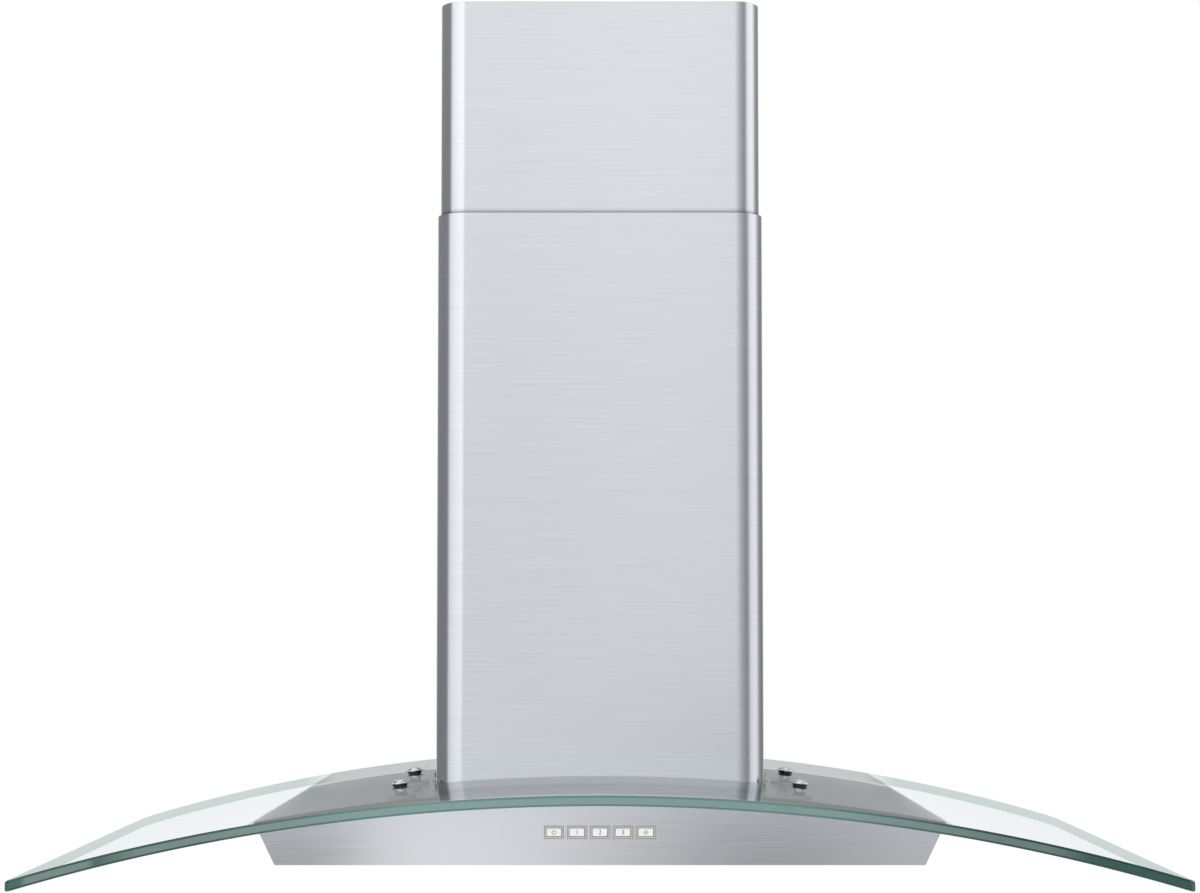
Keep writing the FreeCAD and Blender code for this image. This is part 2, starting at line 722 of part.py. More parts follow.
def lower_chimney_cover():
    """Outer cover standing on the arched plate inside the notch of the glass."""
    cover = u_cover(CHIMNEY_HALF, CHIMNEY_DEPTH, CHIMNEY_CORNER, LOWER_WALL_GAP, 0, LOWER_TOP)
    flange = block(COVER_INNER - COVER_FLANGE, COVER_INNER, LOWER_WALL_GAP,
                   LOWER_WALL_GAP + COVER_SHEET, 0, LOWER_TOP)
    cover = cover.fuse([flange, mirrored(flange)])
    cover = cover.cut(arch(PLATE_R + TOUCH, -PAST, BODY_DEPTH + PAST))
    hole = rod_x(TAP_R + TOUCH, -CHIMNEY_WIDTH, CHIMNEY_WIDTH, FOOT_SCREW_OUT, foot_screw_up())
    return cover.cut(hole).removeSplitter()


def upper_chimney_cover():
    """Inner cover that slides up out of the lower one."""
    cover = u_cover(UPPER_HALF, UPPER_DEPTH, UPPER_CORNER, UPPER_WALL_GAP, UPPER_BOTTOM, UPPER_TOP)
    return cover.cut(rod_x(TAP_R + TOUCH, -CHIMNEY_WIDTH, CHIMNEY_WIDTH, TOP_SCREW_OUT, TOP_SCREW_UP))


def slide_pads():
    """Low-friction strips inside the top of the lower cover, on its sides and its front."""
    z1 = LOWER_TOP - SLIDE_PAD_DROP
    z0 = z1 - SLIDE_PAD_H
    half = SLIDE_PAD_W / 2
    thick = COVER_GAP - RUN
    pads = []
    for side in (-1, 1):
        for out in (0.25 * CHIMNEY_DEPTH, 0.75 * CHIMNEY_DEPTH):
            x0, x1 = sorted((side * COVER_INNER, side * (COVER_INNER - thick)))
            pads.append(block(x0, x1, out - half, out + half, z0, z1))
        x = side * CHIMNEY_HALF / 2
        front = CHIMNEY_DEPTH - COVER_SHEET
        pads.append(block(x - half, x + half, front - thick, front, z0, z1))
    return Part.makeCompound(pads)


def chimney_brackets():
    """Angle brackets that hold the foot of the lower cover to the plate."""
    out0, out1 = FOOT_SCREW_OUT - BRACKET_WIDTH / 2, FOOT_SCREW_OUT + BRACKET_WIDTH / 2
    leg_top = foot_screw_up() + BRACKET_ABOVE
    leg = block(COVER_INNER - BRACKET_THICK, COVER_INNER, out0, out1, 0, leg_top)
    seat = PLATE_R + TOUCH
    leg = leg.cut(arch(seat, out0, out1))
    foot = arch_slab(seat, seat + BRACKET_THICK, BOX_HALF + BRACKET_BOX_GAP, COVER_INNER, out0, out1)
    hole = rod_x(TAP_R + TOUCH, 0, CHIMNEY_WIDTH, FOOT_SCREW_OUT, foot_screw_up())
    bracket = leg.fuse(foot).cut(hole)
    return both_sides(bracket.removeSplitter())


def chimney_foot_screws():
    """Small screws through the sides of the lower cover into the brackets."""
    one = tapping_screw(TAP_LENGTH)
    return both_sides(aimed(one, CHIMNEY_HALF, FOOT_SCREW_OUT, foot_screw_up(), X_AXIS))


def upper_wall_bracket():
    """U-shaped strap screwed to the wall inside the top of the upper cover."""
    inside = UPPER_INNER - TOUCH
    z0 = TOP_SCREW_UP - STRAP_HEIGHT / 2
    z1 = z0 + STRAP_HEIGHT
    strap = block(-inside, inside, 0, STRAP_THICK, z0, z1)
    for side in (-1, 1):
        x0, x1 = sorted((side * inside, side * (inside - BRACKET_THICK)))
        strap = strap.fuse(block(x0, x1, 0, STRAP_ARM, z0, z1))
        strap = strap.cut(rod_out(FIX_R, -PAST, PAST, side * STRAP_HOLE_X, TOP_SCREW_UP))
    strap = strap.cut(rod_x(TAP_R + TOUCH, -CHIMNEY_WIDTH, CHIMNEY_WIDTH, TOP_SCREW_OUT, TOP_SCREW_UP))
    return strap.removeSplitter()


def upper_cover_screws():
    """Screws through the sides of the upper cover into its wall bracket, heads inside."""
    one = tapping_screw(BRACKET_THICK + TOUCH + COVER_SHEET)
    x = UPPER_INNER - TOUCH - BRACKET_THICK
    return both_sides(aimed(one, x, TOP_SCREW_OUT, TOP_SCREW_UP, -X_AXIS))


# Blower

def collar_screw_places():
    """X and distance from the wall of the collar's four corner screws."""
    return [(sx * COLLAR_SCREW, DUCT_OUT + so * COLLAR_SCREW) for sx in (-1, 1) for so in (-1, 1)]


def blower_box():
    """Open-bottomed sheet box that stands on the arched plate and holds the fan."""
    box = block(-BOX_HALF, BOX_HALF, SHEET, BOX_FRONT, 0, BOX_TOP)
    inside = BOX_HALF - BOX_SHEET
    hollow = block(-inside, inside, BOX_REAR, BOX_FRONT - BOX_SHEET, -PAST, BOX_TOP - BOX_SHEET)
    box = box.cut(hollow)
    inner_r = PLATE_R + TOUCH
    rim = arch_slab(inner_r, inner_r + BOX_SHEET, -inside, inside, SHEET, BOX_FRONT - BOX_SHEET)
    rim = rim.cut(block(-BOX_MOUTH, BOX_MOUTH, SHEET + BOX_FLANGE,
                        BOX_FRONT - BOX_SHEET - BOX_FLANGE, 0, BODY_HEIGHT + PAST))
    box = box.cut(arch(inner_r, -PAST, BODY_DEPTH + PAST)).fuse(rim)
    holes = [rod_z(DUCT_R - DUCT_MOUTH_LAP, BOX_TOP - PAST, BOX_TOP + PAST, 0, DUCT_OUT)]
    holes += [on_arch(drill(TAP_R + TOUCH), PLATE_R, x, out) for x, out in box_screw_places()]
    holes += [rod_z(TAP_R + TOUCH, BOX_TOP - PAST, BOX_TOP + PAST, x, out)
              for x, out in collar_screw_places()]
    return box.cut(Part.makeCompound(holes)).removeSplitter()


def blower_screws():
    """Screws through the box's flange into the plate, and through the collar's flange into the box."""
    one = tapping_screw(TAP_LENGTH)
    seat = PLATE_R + BOX_SHEET + 2 * TOUCH
    low = [on_arch(one, seat, x, out) for x, out in box_screw_places()]
    high = [aimed(one, x, out, BOX_TOP + SHEET, Z_AXIS) for x, out in collar_screw_places()]
    return Part.makeCompound(low + high)


def scroll_point(angle, grow):
    """Point of the scroll in distance from wall and height: 90 is up, 0 is away from the wall."""
    share = (90.0 - angle) / 270.0
    radius = SCROLL_START + (SCROLL_END - SCROLL_START) * share + grow
    turn = math.radians(angle)
    return SCROLL_OUT + radius * math.cos(turn), SCROLL_UP + radius * math.sin(turn)


def scroll_solid(grow, x0, x1, top):
    """Space inside the scroll, grown outwards by grow, from x0 to x1: spiral plus outlet channel."""
    def at(point):
        return V(x0, -point[0], point[1])
    edges = []
    for start in (90.0, 0.0, -90.0):
        quarter = [at(scroll_point(start - step, grow)) for step in (0.0, 45.0, 90.0)]
        edges.append(Part.Arc(*quarter).toShape())
    rear = scroll_point(-180.0, grow)
    centre = at((SCROLL_OUT, SCROLL_UP))
    edges.append(Part.makeLine(at(rear), centre))
    edges.append(Part.makeLine(centre, at(scroll_point(90.0, grow))))
    spiral = Part.Face(Part.Wire(edges)).extrude(V(x1 - x0, 0, 0))
    channel = block(x0, x1, rear[0], SCROLL_OUT + grow, SCROLL_UP, top)
    return spiral.fuse(channel).removeSplitter()


def scroll_housing():
    """Spiral wall with the motor-side cheek."""
    top = BOX_TOP - BOX_SHEET
    outside = scroll_solid(SCROLL_WALL, -SCROLL_HALF - SCROLL_WALL, SCROLL_HALF, top)
    housing = outside.cut(scroll_solid(0, -SCROLL_HALF, SCROLL_HALF + PAST, top + PAST))
    cut = rod_x(INLET_R, -SCROLL_HALF - PAST, 0, SCROLL_OUT, SCROLL_UP)
    for x, out, z in motor_screw_places():
        cut = cut.fuse(rod_x(TAP_R + TOUCH, x - PAST, x + PAST, out, z))
    return housing.cut(cut).removeSplitter()


def scroll_cover():
    """Open-side cheek with a rolled inlet ring."""
    x0 = SCROLL_HALF
    cover = scroll_solid(SCROLL_WALL, x0, x0 + SCROLL_WALL, BOX_TOP - BOX_SHEET)
    cover = cover.cut(rod_x(INLET_R, x0 - PAST, x0 + PAST, SCROLL_OUT, SCROLL_UP))
    curl = INLET_LIP - INLET_FOOT
    inner_curl = curl - SCROLL_WALL
    centre = (INLET_R + curl, INLET_FOOT)
    slant = math.sqrt(0.5)
    lip = turned([(INLET_R, 0), (INLET_R + SCROLL_WALL, 0), (INLET_R + SCROLL_WALL, INLET_FOOT),
                  (centre[0] - inner_curl * slant, centre[1] + inner_curl * slant, "arc"),
                  (centre[0], centre[1] + inner_curl), (centre[0], INLET_LIP),
                  (centre[0] - curl * slant, centre[1] + curl * slant, "arc"), (INLET_R, INLET_FOOT)])
    return cover.fuse(aimed(lip, x0, SCROLL_OUT, SCROLL_UP, X_AXIS)).removeSplitter()


def motor_screw_places():
    """X, distance from wall and height of the screws that hold the motor bracket."""
    turns = [math.radians(90 + i * 360 / MOTOR_ARMS) for i in range(MOTOR_ARMS)]
    return [(MOTOR_FOOT_X, SCROLL_OUT + MOTOR_SCREW_PCD * math.cos(t),
             SCROLL_UP + MOTOR_SCREW_PCD * math.sin(t)) for t in turns]


def fan_motor():
    """Motor can with a bearing boss and a bore for the shaft."""
    length = MOTOR_FRONT - MOTOR_REAR
    flat = MOTOR_R - MOTOR_EDGE
    slant = MOTOR_EDGE * (1 - math.sqrt(0.5))
    can = turned([(0, 0), (flat, 0), (MOTOR_R - slant, slant, "arc"), (MOTOR_R, MOTOR_EDGE),
                  (MOTOR_R, length - MOTOR_EDGE), (MOTOR_R - slant, length - slant, "arc"), (flat, length),
                  (MOTOR_BOSS_R, length), (MOTOR_BOSS_R, length + MOTOR_BOSS), (0, length + MOTOR_BOSS)])
    can = aimed(can, MOTOR_REAR, SCROLL_OUT, SCROLL_UP, X_AXIS)
    return can.cut(rod_x(SHAFT_R + SHAFT_PLAY, MOTOR_REAR - PAST, 0, SCROLL_OUT, SCROLL_UP))


def motor_bracket():
    """Ring round the motor with arms to the scroll's cheek."""
    ring = rod_x(MOTOR_R + MOTOR_RING_THICK, MOTOR_FOOT_X - MOTOR_RING_WIDTH, MOTOR_FOOT_X,
                 SCROLL_OUT, SCROLL_UP)
    arm = block(MOTOR_FOOT_X - MOTOR_ARM_THICK, MOTOR_FOOT_X, SCROLL_OUT - MOTOR_ARM_WIDTH / 2,
                SCROLL_OUT + MOTOR_ARM_WIDTH / 2, SCROLL_UP, SCROLL_UP + MOTOR_SCREW_PCD + MOTOR_ARM_END)
    centre = V(0, -SCROLL_OUT, SCROLL_UP)
    arms = []
    for i in range(MOTOR_ARMS):
        turned_arm = arm.copy()
        turned_arm.rotate(centre, X_AXIS, -i * 360 / MOTOR_ARMS)
        arms.append(turned_arm)
    bracket = ring.fuse(arms).cut(rod_x(MOTOR_R + TOUCH, -BOX_HALF, 0, SCROLL_OUT, SCROLL_UP))
    for x, out, z in motor_screw_places():
        bracket = bracket.cut(rod_x(TAP_R + TOUCH, x - PAST, x + PAST, out, z))
    return bracket.removeSplitter()


def motor_screws():
    """Screws through the bracket's arms into the cheek."""
    one = tapping_screw(MOTOR_ARM_THICK + SCROLL_WALL)
    return Part.makeCompound([aimed(one, x - MOTOR_ARM_THICK, out, z, -X_AXIS)
                              for x, out, z in motor_screw_places()])


def fan_blade():
    """One forward-curved blade, an arc in section, along X."""
    def at(radius, degrees):
        turn = math.radians(degrees)
        return V(FAN_LEFT, radius * math.cos(turn), radius * math.sin(turn))
    middle_r = (FAN_BLADE_IN + FAN_R) / 2
    thick = math.degrees(BLADE_THICK / middle_r)
    inner = FAN_BLADE_IN + BLADE_RIM_GAP
    outer = FAN_R - BLADE_RIM_GAP
    sweep, half = BLADE_SWEEP, BLADE_HALF_SWEEP
    near = Part.Arc(at(inner, 0), at(middle_r, half), at(outer, sweep)).toShape()
    far = Part.Arc(at(outer, sweep + thick), at(middle_r, half + thick), at(inner, thick)).toShape()
    wire = Part.Wire([near, Part.makeLine(at(outer, sweep), at(outer, sweep + thick)), far,
                      Part.makeLine(at(inner, thick), at(inner, 0))])
    return Part.Face(wire).extrude(V(FAN_RIGHT - FAN_LEFT, 0, 0))


def impeller():
    """Squirrel-cage wheel: hub, web, two rims and curved blades."""
    def disc(outer, x0, x1):
        return Part.makeCylinder(outer, x1 - x0, V(x0, 0, 0), X_AXIS)
    blade = fan_blade()
    blades = []
    for i in range(FAN_BLADES):
        one = blade.copy()
        one.rotate(V(0, 0, 0), X_AXIS, i * 360 / FAN_BLADES)
        blades.append(one)
    rims = [disc(FAN_R, x, x + FAN_RING).cut(disc(FAN_BLADE_IN, x, x + FAN_RING))
            for x in (FAN_LEFT, FAN_RIGHT - FAN_RING)]
    web = disc(FAN_R, HUB_X, HUB_X + FAN_RING)
    hub = disc(HUB_R, HUB_X - HUB_BACK, HUB_END)
    wheel = web.fuse([hub] + rims + blades).cut(disc(SHAFT_R, FAN_LEFT, FAN_RIGHT))
    wheel = wheel.removeSplitter()
    wheel.translate(V(0, -SCROLL_OUT, SCROLL_UP))
    return wheel


def motor_shaft():
    """Steel shaft through motor and hub."""
    return rod_x(SHAFT_R, MOTOR_REAR - SHAFT_TAIL, HUB_END + SHAFT_NOSE, SCROLL_OUT, SCROLL_UP)


def shaft_nut():
    """Nut that holds the wheel on the shaft."""
    nut = hexagon(SHAFT_NUT_ACROSS, SHAFT_NUT_H, SHAFT_R)
    return aimed(nut, HUB_END, SCROLL_OUT, SCROLL_UP, X_AXIS)


def run_capacitor():
    """Run capacitor against the side of the blower box, with its two terminals."""
    x = BOX_HALF - BOX_SHEET - CAPACITOR_R - TOUCH
    z1 = CAPACITOR_UP + CAPACITOR_LENGTH
    can = turned([(0, 0), (CAPACITOR_R, 0), (CAPACITOR_R, CAPACITOR_LENGTH - CAPACITOR_EDGE),
                  (CAPACITOR_R - CAPACITOR_EDGE, CAPACITOR_LENGTH), (0, CAPACITOR_LENGTH)])
    can = aimed(can, x, CAPACITOR_OUT, CAPACITOR_UP, Z_AXIS)
    half = TAB_WIDTH / 2
    tabs = []
    for middle in (x - TAB_PITCH / 2, x + TAB_PITCH / 2):
        tabs.append(block(middle - TAB_THICK / 2, middle + TAB_THICK / 2, CAPACITOR_OUT - half,
                          CAPACITOR_OUT + half, z1 - CAPACITOR_EDGE, z1 + TAB_LENGTH))
    return can.fuse(tabs)


def capacitor_strap():
    """Sheet strap that holds the capacitor to the box wall."""
    wall = BOX_HALF - BOX_SHEET
    x = wall - CAPACITOR_R - TOUCH
    z0 = CAPACITOR_UP + STRAP_RISE
    z1 = z0 + BAND_HEIGHT
    outer = CAPACITOR_R + TOUCH + BAND_THICK
    band = rod_z(outer, z0, z1, x, CAPACITOR_OUT)
    band = band.fuse(block(x, wall, CAPACITOR_OUT - outer, CAPACITOR_OUT + outer, z0, z1))
    ears = block(wall - BAND_THICK, wall, CAPACITOR_OUT - outer - BAND_EAR,
                 CAPACITOR_OUT + outer + BAND_EAR, z0, z1)
    band = band.common(block(x - 2 * outer, wall, 0, BOX_FRONT, z0, z1)).fuse(ears)
    band = band.cut(rod_z(CAPACITOR_R + TOUCH, z0, z1, x, CAPACITOR_OUT))
    inside = CAPACITOR_R + TOUCH
    return band.cut(block(x, wall, CAPACITOR_OUT - inside, CAPACITOR_OUT + inside, z0, z1)).removeSplitter()


# Duct collar and damper

def duct_collar():
    """Round spigot on a square flange, with a stop bead and pin seats for the damper flaps inside."""
    top = BOX_TOP + DUCT_LENGTH
    collar = block(-COLLAR_HALF, COLLAR_HALF, DUCT_OUT - COLLAR_HALF, DUCT_OUT + COLLAR_HALF,
                   BOX_TOP, BOX_TOP + SHEET)
    collar = collar.fuse(rod_z(DUCT_R, BOX_TOP, top, 0, DUCT_OUT))
    collar = collar.cut(rod_z(DUCT_INNER, BOX_TOP - PAST, top + PAST, 0, DUCT_OUT))
    half_wall = DUCT_INNER + DUCT_WALL / 2
    bead_top = DAMPER_UP - FLAP_THICK / 2 - RUN
    bead = ring_z(half_wall, DUCT_INNER - BEAD_DEPTH, bead_top - BEAD_THICK, bead_top, 0, DUCT_OUT)
    seat = rod_x(KNUCKLE_R, DUCT_INNER - PIN_SEAT, half_wall, DUCT_OUT, DAMPER_UP)
    collar = collar.fuse([bead, seat, mirrored(seat)])
    collar = collar.cut(rod_x(PIN_R + TOUCH, -DUCT_INNER, DUCT_INNER, DUCT_OUT, DAMPER_UP))
    for x, out in collar_screw_places():
        collar = collar.cut(rod_z(TAP_R + TOUCH, BOX_TOP - PAST, BOX_TOP + PAST, x, out))
    return collar.removeSplitter()


def damper_pin():
    """Hinge pin of the two flaps, across the collar."""
    end = DUCT_INNER - TOUCH
    return rod_x(PIN_R, -end, end, DUCT_OUT, DAMPER_UP)


def damper_flap(side):
    """Half-round flap; side +1 is the one away from the wall."""
    z0, z1 = DAMPER_UP - FLAP_THICK / 2, DAMPER_UP + FLAP_THICK / 2
    edge = KNUCKLE_R + FLAP_EDGE_GAP
    disc = rod_z(DUCT_INNER - FLAP_RIM_GAP, z0, z1, 0, DUCT_OUT)
    near, far = sorted((DUCT_OUT + side * edge, DUCT_OUT + side * DUCT_R))
    flap = disc.common(block(-DUCT_R, DUCT_R, near, far, z0, z1))
    step = KNUCKLE_W + KNUCKLE_GAP
    first = -2 * step if side > 0 else -step
    for i in range(2):
        x0 = first + 2 * i * step + KNUCKLE_GAP / 2
        x1 = x0 + KNUCKLE_W
        near, far = sorted((DUCT_OUT, DUCT_OUT + side * (edge + KNUCKLE_ROOT)))
        flap = flap.fuse([rod_x(KNUCKLE_R, x0, x1, DUCT_OUT, DAMPER_UP), block(x0, x1, near, far, z0, z1)])
    return flap.cut(rod_x(PIN_R + KNUCKLE_PLAY, -DUCT_R, DUCT_R, DUCT_OUT, DAMPER_UP)).removeSplitter()


# Controls

def post_places():
    """X and height of the four posts that carry the board."""
    return [(sx * POST_X, BUTTON_UP + sz * POST_Z) for sx in (-1, 1) for sz in (-1, 1)]


def button_frame():
    """Moulded frame behind the panel; its five rims show as the buttons' bezels."""
    z = BUTTON_UP
    frame = block(-FRAME_HALF, FRAME_HALF, FRAME_BACK, PANEL_BACK, z - FRAME_H, z + FRAME_H)
    rims = [block(x - BEZEL_W / 2, x + BEZEL_W / 2, FRAME_BACK, BODY_DEPTH + BEZEL_PROUD,
                  z - BEZEL_H / 2, z + BEZEL_H / 2) for x in button_xs()]
    posts = [rod_out(POST_R, BOARD_FRONT, FRAME_BACK, x, pz) for x, pz in post_places()]
    frame = frame.fuse(rims + posts)
    w, h = BUTTON_W / 2 + BUTTON_PLAY, BUTTON_H / 2 + BUTTON_PLAY
    holes = [block(x - w, x + w, 0, BODY_DEPTH + PAST, z - h, z + h) for x in button_xs()]
    holes += [rod_out(BOARD_SCREW_R + TOUCH, BOARD_FRONT - PAST, FRAME_BACK, x, pz)
              for x, pz in post_places()]
    return frame.cut(Part.makeCompound(holes)).removeSplitter()


def push_button(x):
    """Key cap with a retaining flange behind the frame and a stem to the switch."""
    z = BUTTON_UP
    face_out = BODY_DEPTH + BUTTON_PROUD
    flange_front = FRAME_BACK - BUTTON_PLAY
    flange_back = flange_front - BUTTON_FLANGE_THICK
    w, h = BUTTON_W / 2, BUTTON_H / 2
    cap = block(x - w, x + w, flange_back, face_out, z - h, z + h)
    cap = cap.makeFillet(BUTTON_EDGE, near_front(cap.Edges, face_out - TOUCH))
    w, h = w + BUTTON_FLANGE, h + BUTTON_FLANGE
    flange = block(x - w, x + w, flange_back, flange_front, z - h, z + h)
    stem_end = BOARD_FRONT + SWITCH_H + BUTTON_TRAVEL + BUTTON_PLAY
    stem = rod_out(STEM_R, stem_end, flange_back, x, z)
    return cap.fuse([flange, stem]).removeSplitter()


def control_board():
    """Circuit board on the frame's posts."""
    z = BUTTON_UP
    board = block(-FRAME_HALF, FRAME_HALF, BOARD_FRONT - BOARD_THICK, BOARD_FRONT, z - FRAME_H, z + FRAME_H)
    for x, pz in post_places():
        board = board.cut(rod_out(BOARD_SCREW_R + TOUCH, BOARD_FRONT - PAST, BOARD_FRONT + PAST, x, pz))
    return board


def push_switches():
    """Small switches on the board, one behind each button."""
    z = BUTTON_UP
    half = SWITCH_HALF
    base_front = BOARD_FRONT + SWITCH_H - SWITCH_TIP_H
    switches = []
    for x in button_xs():
        base = block(x - half, x + half, BOARD_FRONT, base_front, z - half, z + half)
        switches.append(base.fuse(rod_out(SWITCH_TIP_R, BOARD_FRONT, BOARD_FRONT + SWITCH_H, x, z)))
    return Part.makeCompound(switches)


def board_screws():
    """Screws through the board into the frame's posts."""
    one = screw(BOARD_SCREW_R, BOARD_THICK + BOARD_SCREW_BITE, BOARD_HEAD_R, BOARD_HEAD_H)
    back = BOARD_FRONT - BOARD_THICK
    return Part.makeCompound([aimed(one, x, back, pz, Y_AXIS) for x, pz in post_places()])


# Lamps

def lamp_bezel(side):
    """Trim ring under the pan with a neck through it."""
    ledge = LAMP_LENS - LAMP_LEDGE
    slant = 1 - math.sqrt(0.5)
    bulge = (LAMP_R - slant * LAMP_TRIM_EDGE, -LAMP_TRIM * (1 - slant), "arc")
    ring = turned([(ledge, -LAMP_TRIM), (LAMP_R - LAMP_TRIM_EDGE, -LAMP_TRIM), bulge, (LAMP_R, 0),
                   (LAMP_NECK, 0), (LAMP_NECK, LAMP_NECK_H), (LAMP_LENS + TOUCH, LAMP_NECK_H),
                   (LAMP_LENS + TOUCH, 0), (ledge, 0)])
    return aimed(ring, side * LAMP_X, LAMP_OUT, 0, Z_AXIS)


def lamp_lens(side):
    """Frosted disc on the bezel's inner ledge."""
    disc = turned([(0, 0), (LAMP_LENS, 0), (LAMP_LENS, LENS_THICK), (0, LENS_THICK)])
    return aimed(disc, side * LAMP_X, LAMP_OUT, 0, Z_AXIS)


def lamp_housing(side):
    """Finned can over the neck that holds the lamp."""
    z0, z1 = LAMP_NECK_H, LAMP_NECK_H + LAMP_HOUSING_H
    x = side * LAMP_X
    can = rod_z(LAMP_NECK, z0, z1, x, LAMP_OUT)
    can = can.cut(rod_z(LAMP_LENS, z0, z1 - LAMP_ROOF, x, LAMP_OUT))
    for i in range(FIN_SLOTS):
        middle = x + (i - (FIN_SLOTS - 1) / 2) * FIN_PITCH
        can = can.cut(block(middle - FIN_SLOT / 2, middle + FIN_SLOT / 2, LAMP_OUT - LAMP_R,
                            LAMP_OUT + LAMP_R, z1 - FIN_DEPTH, z1 + PAST))
    return can


def lamp_driver():
    """Supply for the lamps, on the pan."""
    x0 = FILTER_OUTER + DRIVER_GAP
    middle = x0 + DRIVER_W / 2
    out1 = DRIVER_OUT + DRIVER_L
    body = block(x0, x0 + DRIVER_W, DRIVER_OUT, out1, SHEET, SHEET + DRIVER_H)
    body = body.makeFillet(DRIVER_EDGE, upright_edges(body))
    foot = block(middle - DRIVER_FOOT_W / 2, middle + DRIVER_FOOT_W / 2, DRIVER_OUT - DRIVER_FOOT_L,
                 out1 + DRIVER_FOOT_L, SHEET, SHEET + DRIVER_FOOT_H)
    return body.fuse(foot).removeSplitter()


# Grease filters

def filter_span(side):
    """Low and high X of one filter."""
    return sorted((side * (FILTER_INNER + FILTER_PLAY), side * (FILTER_OUTER - FILTER_PLAY)))


def filter_ledge():
    """Distance from the wall of the inner edge of a filter's front rim."""
    return FILTER_FRONT - FILTER_PLAY - FILTER_RIM - RIM_LIP


def ring_pivot():
    """Distance from the wall and height of a pull ring's pivot."""
    return filter_ledge() - RING_PIVOT_GAP, FILTER_LIFT + RECESS / 2


def filter_window(side, inset, z0, z1):
    """Space inside a filter's rim."""
    x0, x1 = filter_span(side)
    return block(x0 + inset, x1 - inset, FILTER_TAIL + inset, FILTER_FRONT - FILTER_PLAY - inset, z0, z1)


def filter_frame(side):
    """Filter rim with a ledge for the mesh, hinge eyes at the rear and lugs for the pull ring."""
    x0, x1 = filter_span(side)
    z1 = FILTER_LIFT + FILTER_THICK
    frame = block(x0, x1, FILTER_TAIL, FILTER_FRONT - FILTER_PLAY, FILTER_LIFT, z1)
    frame = frame.cut(filter_window(side, FILTER_RIM, FILTER_LIFT + RECESS, z1 + PAST))
    frame = frame.cut(filter_window(side, FILTER_RIM + RIM_LIP, FILTER_LIFT - PAST, z1))
    eyes = []
    for x in (x0 + EYE_INSET, x1 - EYE_INSET - EYE_WIDTH):
        eyes.append(rod_x(ROD_R + EYE_WALL, x, x + EYE_WIDTH, HINGE_OUT, HINGE_UP))
        eyes.append(block(x, x + EYE_WIDTH, HINGE_OUT, FILTER_TAIL + EYE_WALL,
                          HINGE_UP - EYE_WALL, HINGE_UP + EYE_WALL))
    pivot_out, pivot_z = ring_pivot()
    middle = (x0 + x1) / 2
    lugs = [block(x - LUG_HALF, x + LUG_HALF, pivot_out - LUG_HALF, filter_ledge() + RIM_LIP / 2,
                  FILTER_LIFT + LUG_INSET, FILTER_LIFT + RECESS - LUG_INSET)
            for x in (middle - LUG_SPREAD, middle + LUG_SPREAD)]
    frame = frame.fuse(eyes + lugs)
    frame = frame.cut(rod_x(ROD_R + RING_PLAY, x0, x1, HINGE_OUT, HINGE_UP))
    pivot = rod_x(RING_WIRE + RING_PLAY, middle - RING_HALF, middle + RING_HALF, pivot_out, pivot_z)
    return frame.cut(pivot).removeSplitter()


def filter_mesh(side):
    """Layered mesh pad on the frame's ledge."""
    return filter_window(side, FILTER_RIM, FILTER_LIFT + RECESS, FILTER_LIFT + RECESS + MESH_DEPTH)


def pull_ring(side):
    """Folding wire ring, lying flat in the recess under the mesh."""
    pivot_out, z = ring_pivot()
    middle = sum(filter_span(side)) / 2
    rear = pivot_out - RING_REACH
    loop = block(middle - RING_HALF, middle + RING_HALF, rear, pivot_out, z, z + RING_WIRE)
    loop = loop.makeFillet(RING_BEND, upright_edges(loop))
    bottom = [f for f in loop.Faces if f.normalAt(0, 0).z < -0.9][0]
    start = V(middle, -pivot_out, z)
    section = Part.Wire(Part.makeCircle(RING_WIRE, start, X_AXIS))
    return bottom.OuterWire.makePipeShell([section], True, True)


def filter_hinge_rod():
    """Rod across the pan that both filters hang on."""
    end = FILTER_OUTER + SHEET
    return rod_x(ROD_R, -end, end, HINGE_OUT, HINGE_UP)


# Mains connection

def junction_box():
    """Open-topped connection box on the blower box."""
    z0, z1 = BOX_TOP, BOX_TOP + JUNCTION_H
    t = BOX_SHEET
    box = block(-JUNCTION_HALF, JUNCTION_HALF, JUNCTION_REAR, JUNCTION_FRONT, z0, z1)
    inside = JUNCTION_HALF - t
    return box.cut(block(-inside, inside, JUNCTION_REAR + t, JUNCTION_FRONT - t, z0 + t, z1 + PAST))


def junction_cover():
    """Lid with a turned-down edge and a hole for the gland."""
    z = BOX_TOP + JUNCTION_H
    t = BOX_SHEET
    half = JUNCTION_HALF + t
    lid = block(-half, half, JUNCTION_REAR - t, JUNCTION_FRONT + t, z - LID_EDGE, z + t)
    lid = lid.cut(block(-JUNCTION_HALF, JUNCTION_HALF, JUNCTION_REAR, JUNCTION_FRONT, z - PAST, z))
    return lid.cut(rod_z(GLAND_R + TOUCH, z, z + PAST, GLAND_X, JUNCTION_MIDDLE))


def terminal_block():
    """Terminal strip on the floor of the junction box: a screw well per way, slots between the ways."""
    out0, out1 = JUNCTION_MIDDLE - TERMINAL_DEPTH / 2, JUNCTION_MIDDLE + TERMINAL_DEPTH / 2
    half = TERMINAL_WAYS * TERMINAL_PITCH / 2
    z0 = BOX_TOP + BOX_SHEET
    z1 = z0 + TERMINAL_H
    strip = block(TERMINAL_SHIFT - half, TERMINAL_SHIFT + half, out0, out1, z0, z1)
    for i in range(TERMINAL_WAYS):
        x = TERMINAL_SHIFT - half + (i + 0.5) * TERMINAL_PITCH
        strip = strip.cut(rod_z(TERMINAL_WELL_R, z1 - TERMINAL_WELL, z1, x, JUNCTION_MIDDLE))
        if i:
            edge = x - TERMINAL_PITCH / 2
            strip = strip.cut(block(edge - TERMINAL_SLOT / 2, edge + TERMINAL_SLOT / 2, out0, out1,
                                    z1 - TERMINAL_SLOT_DEPTH, z1))
    return strip


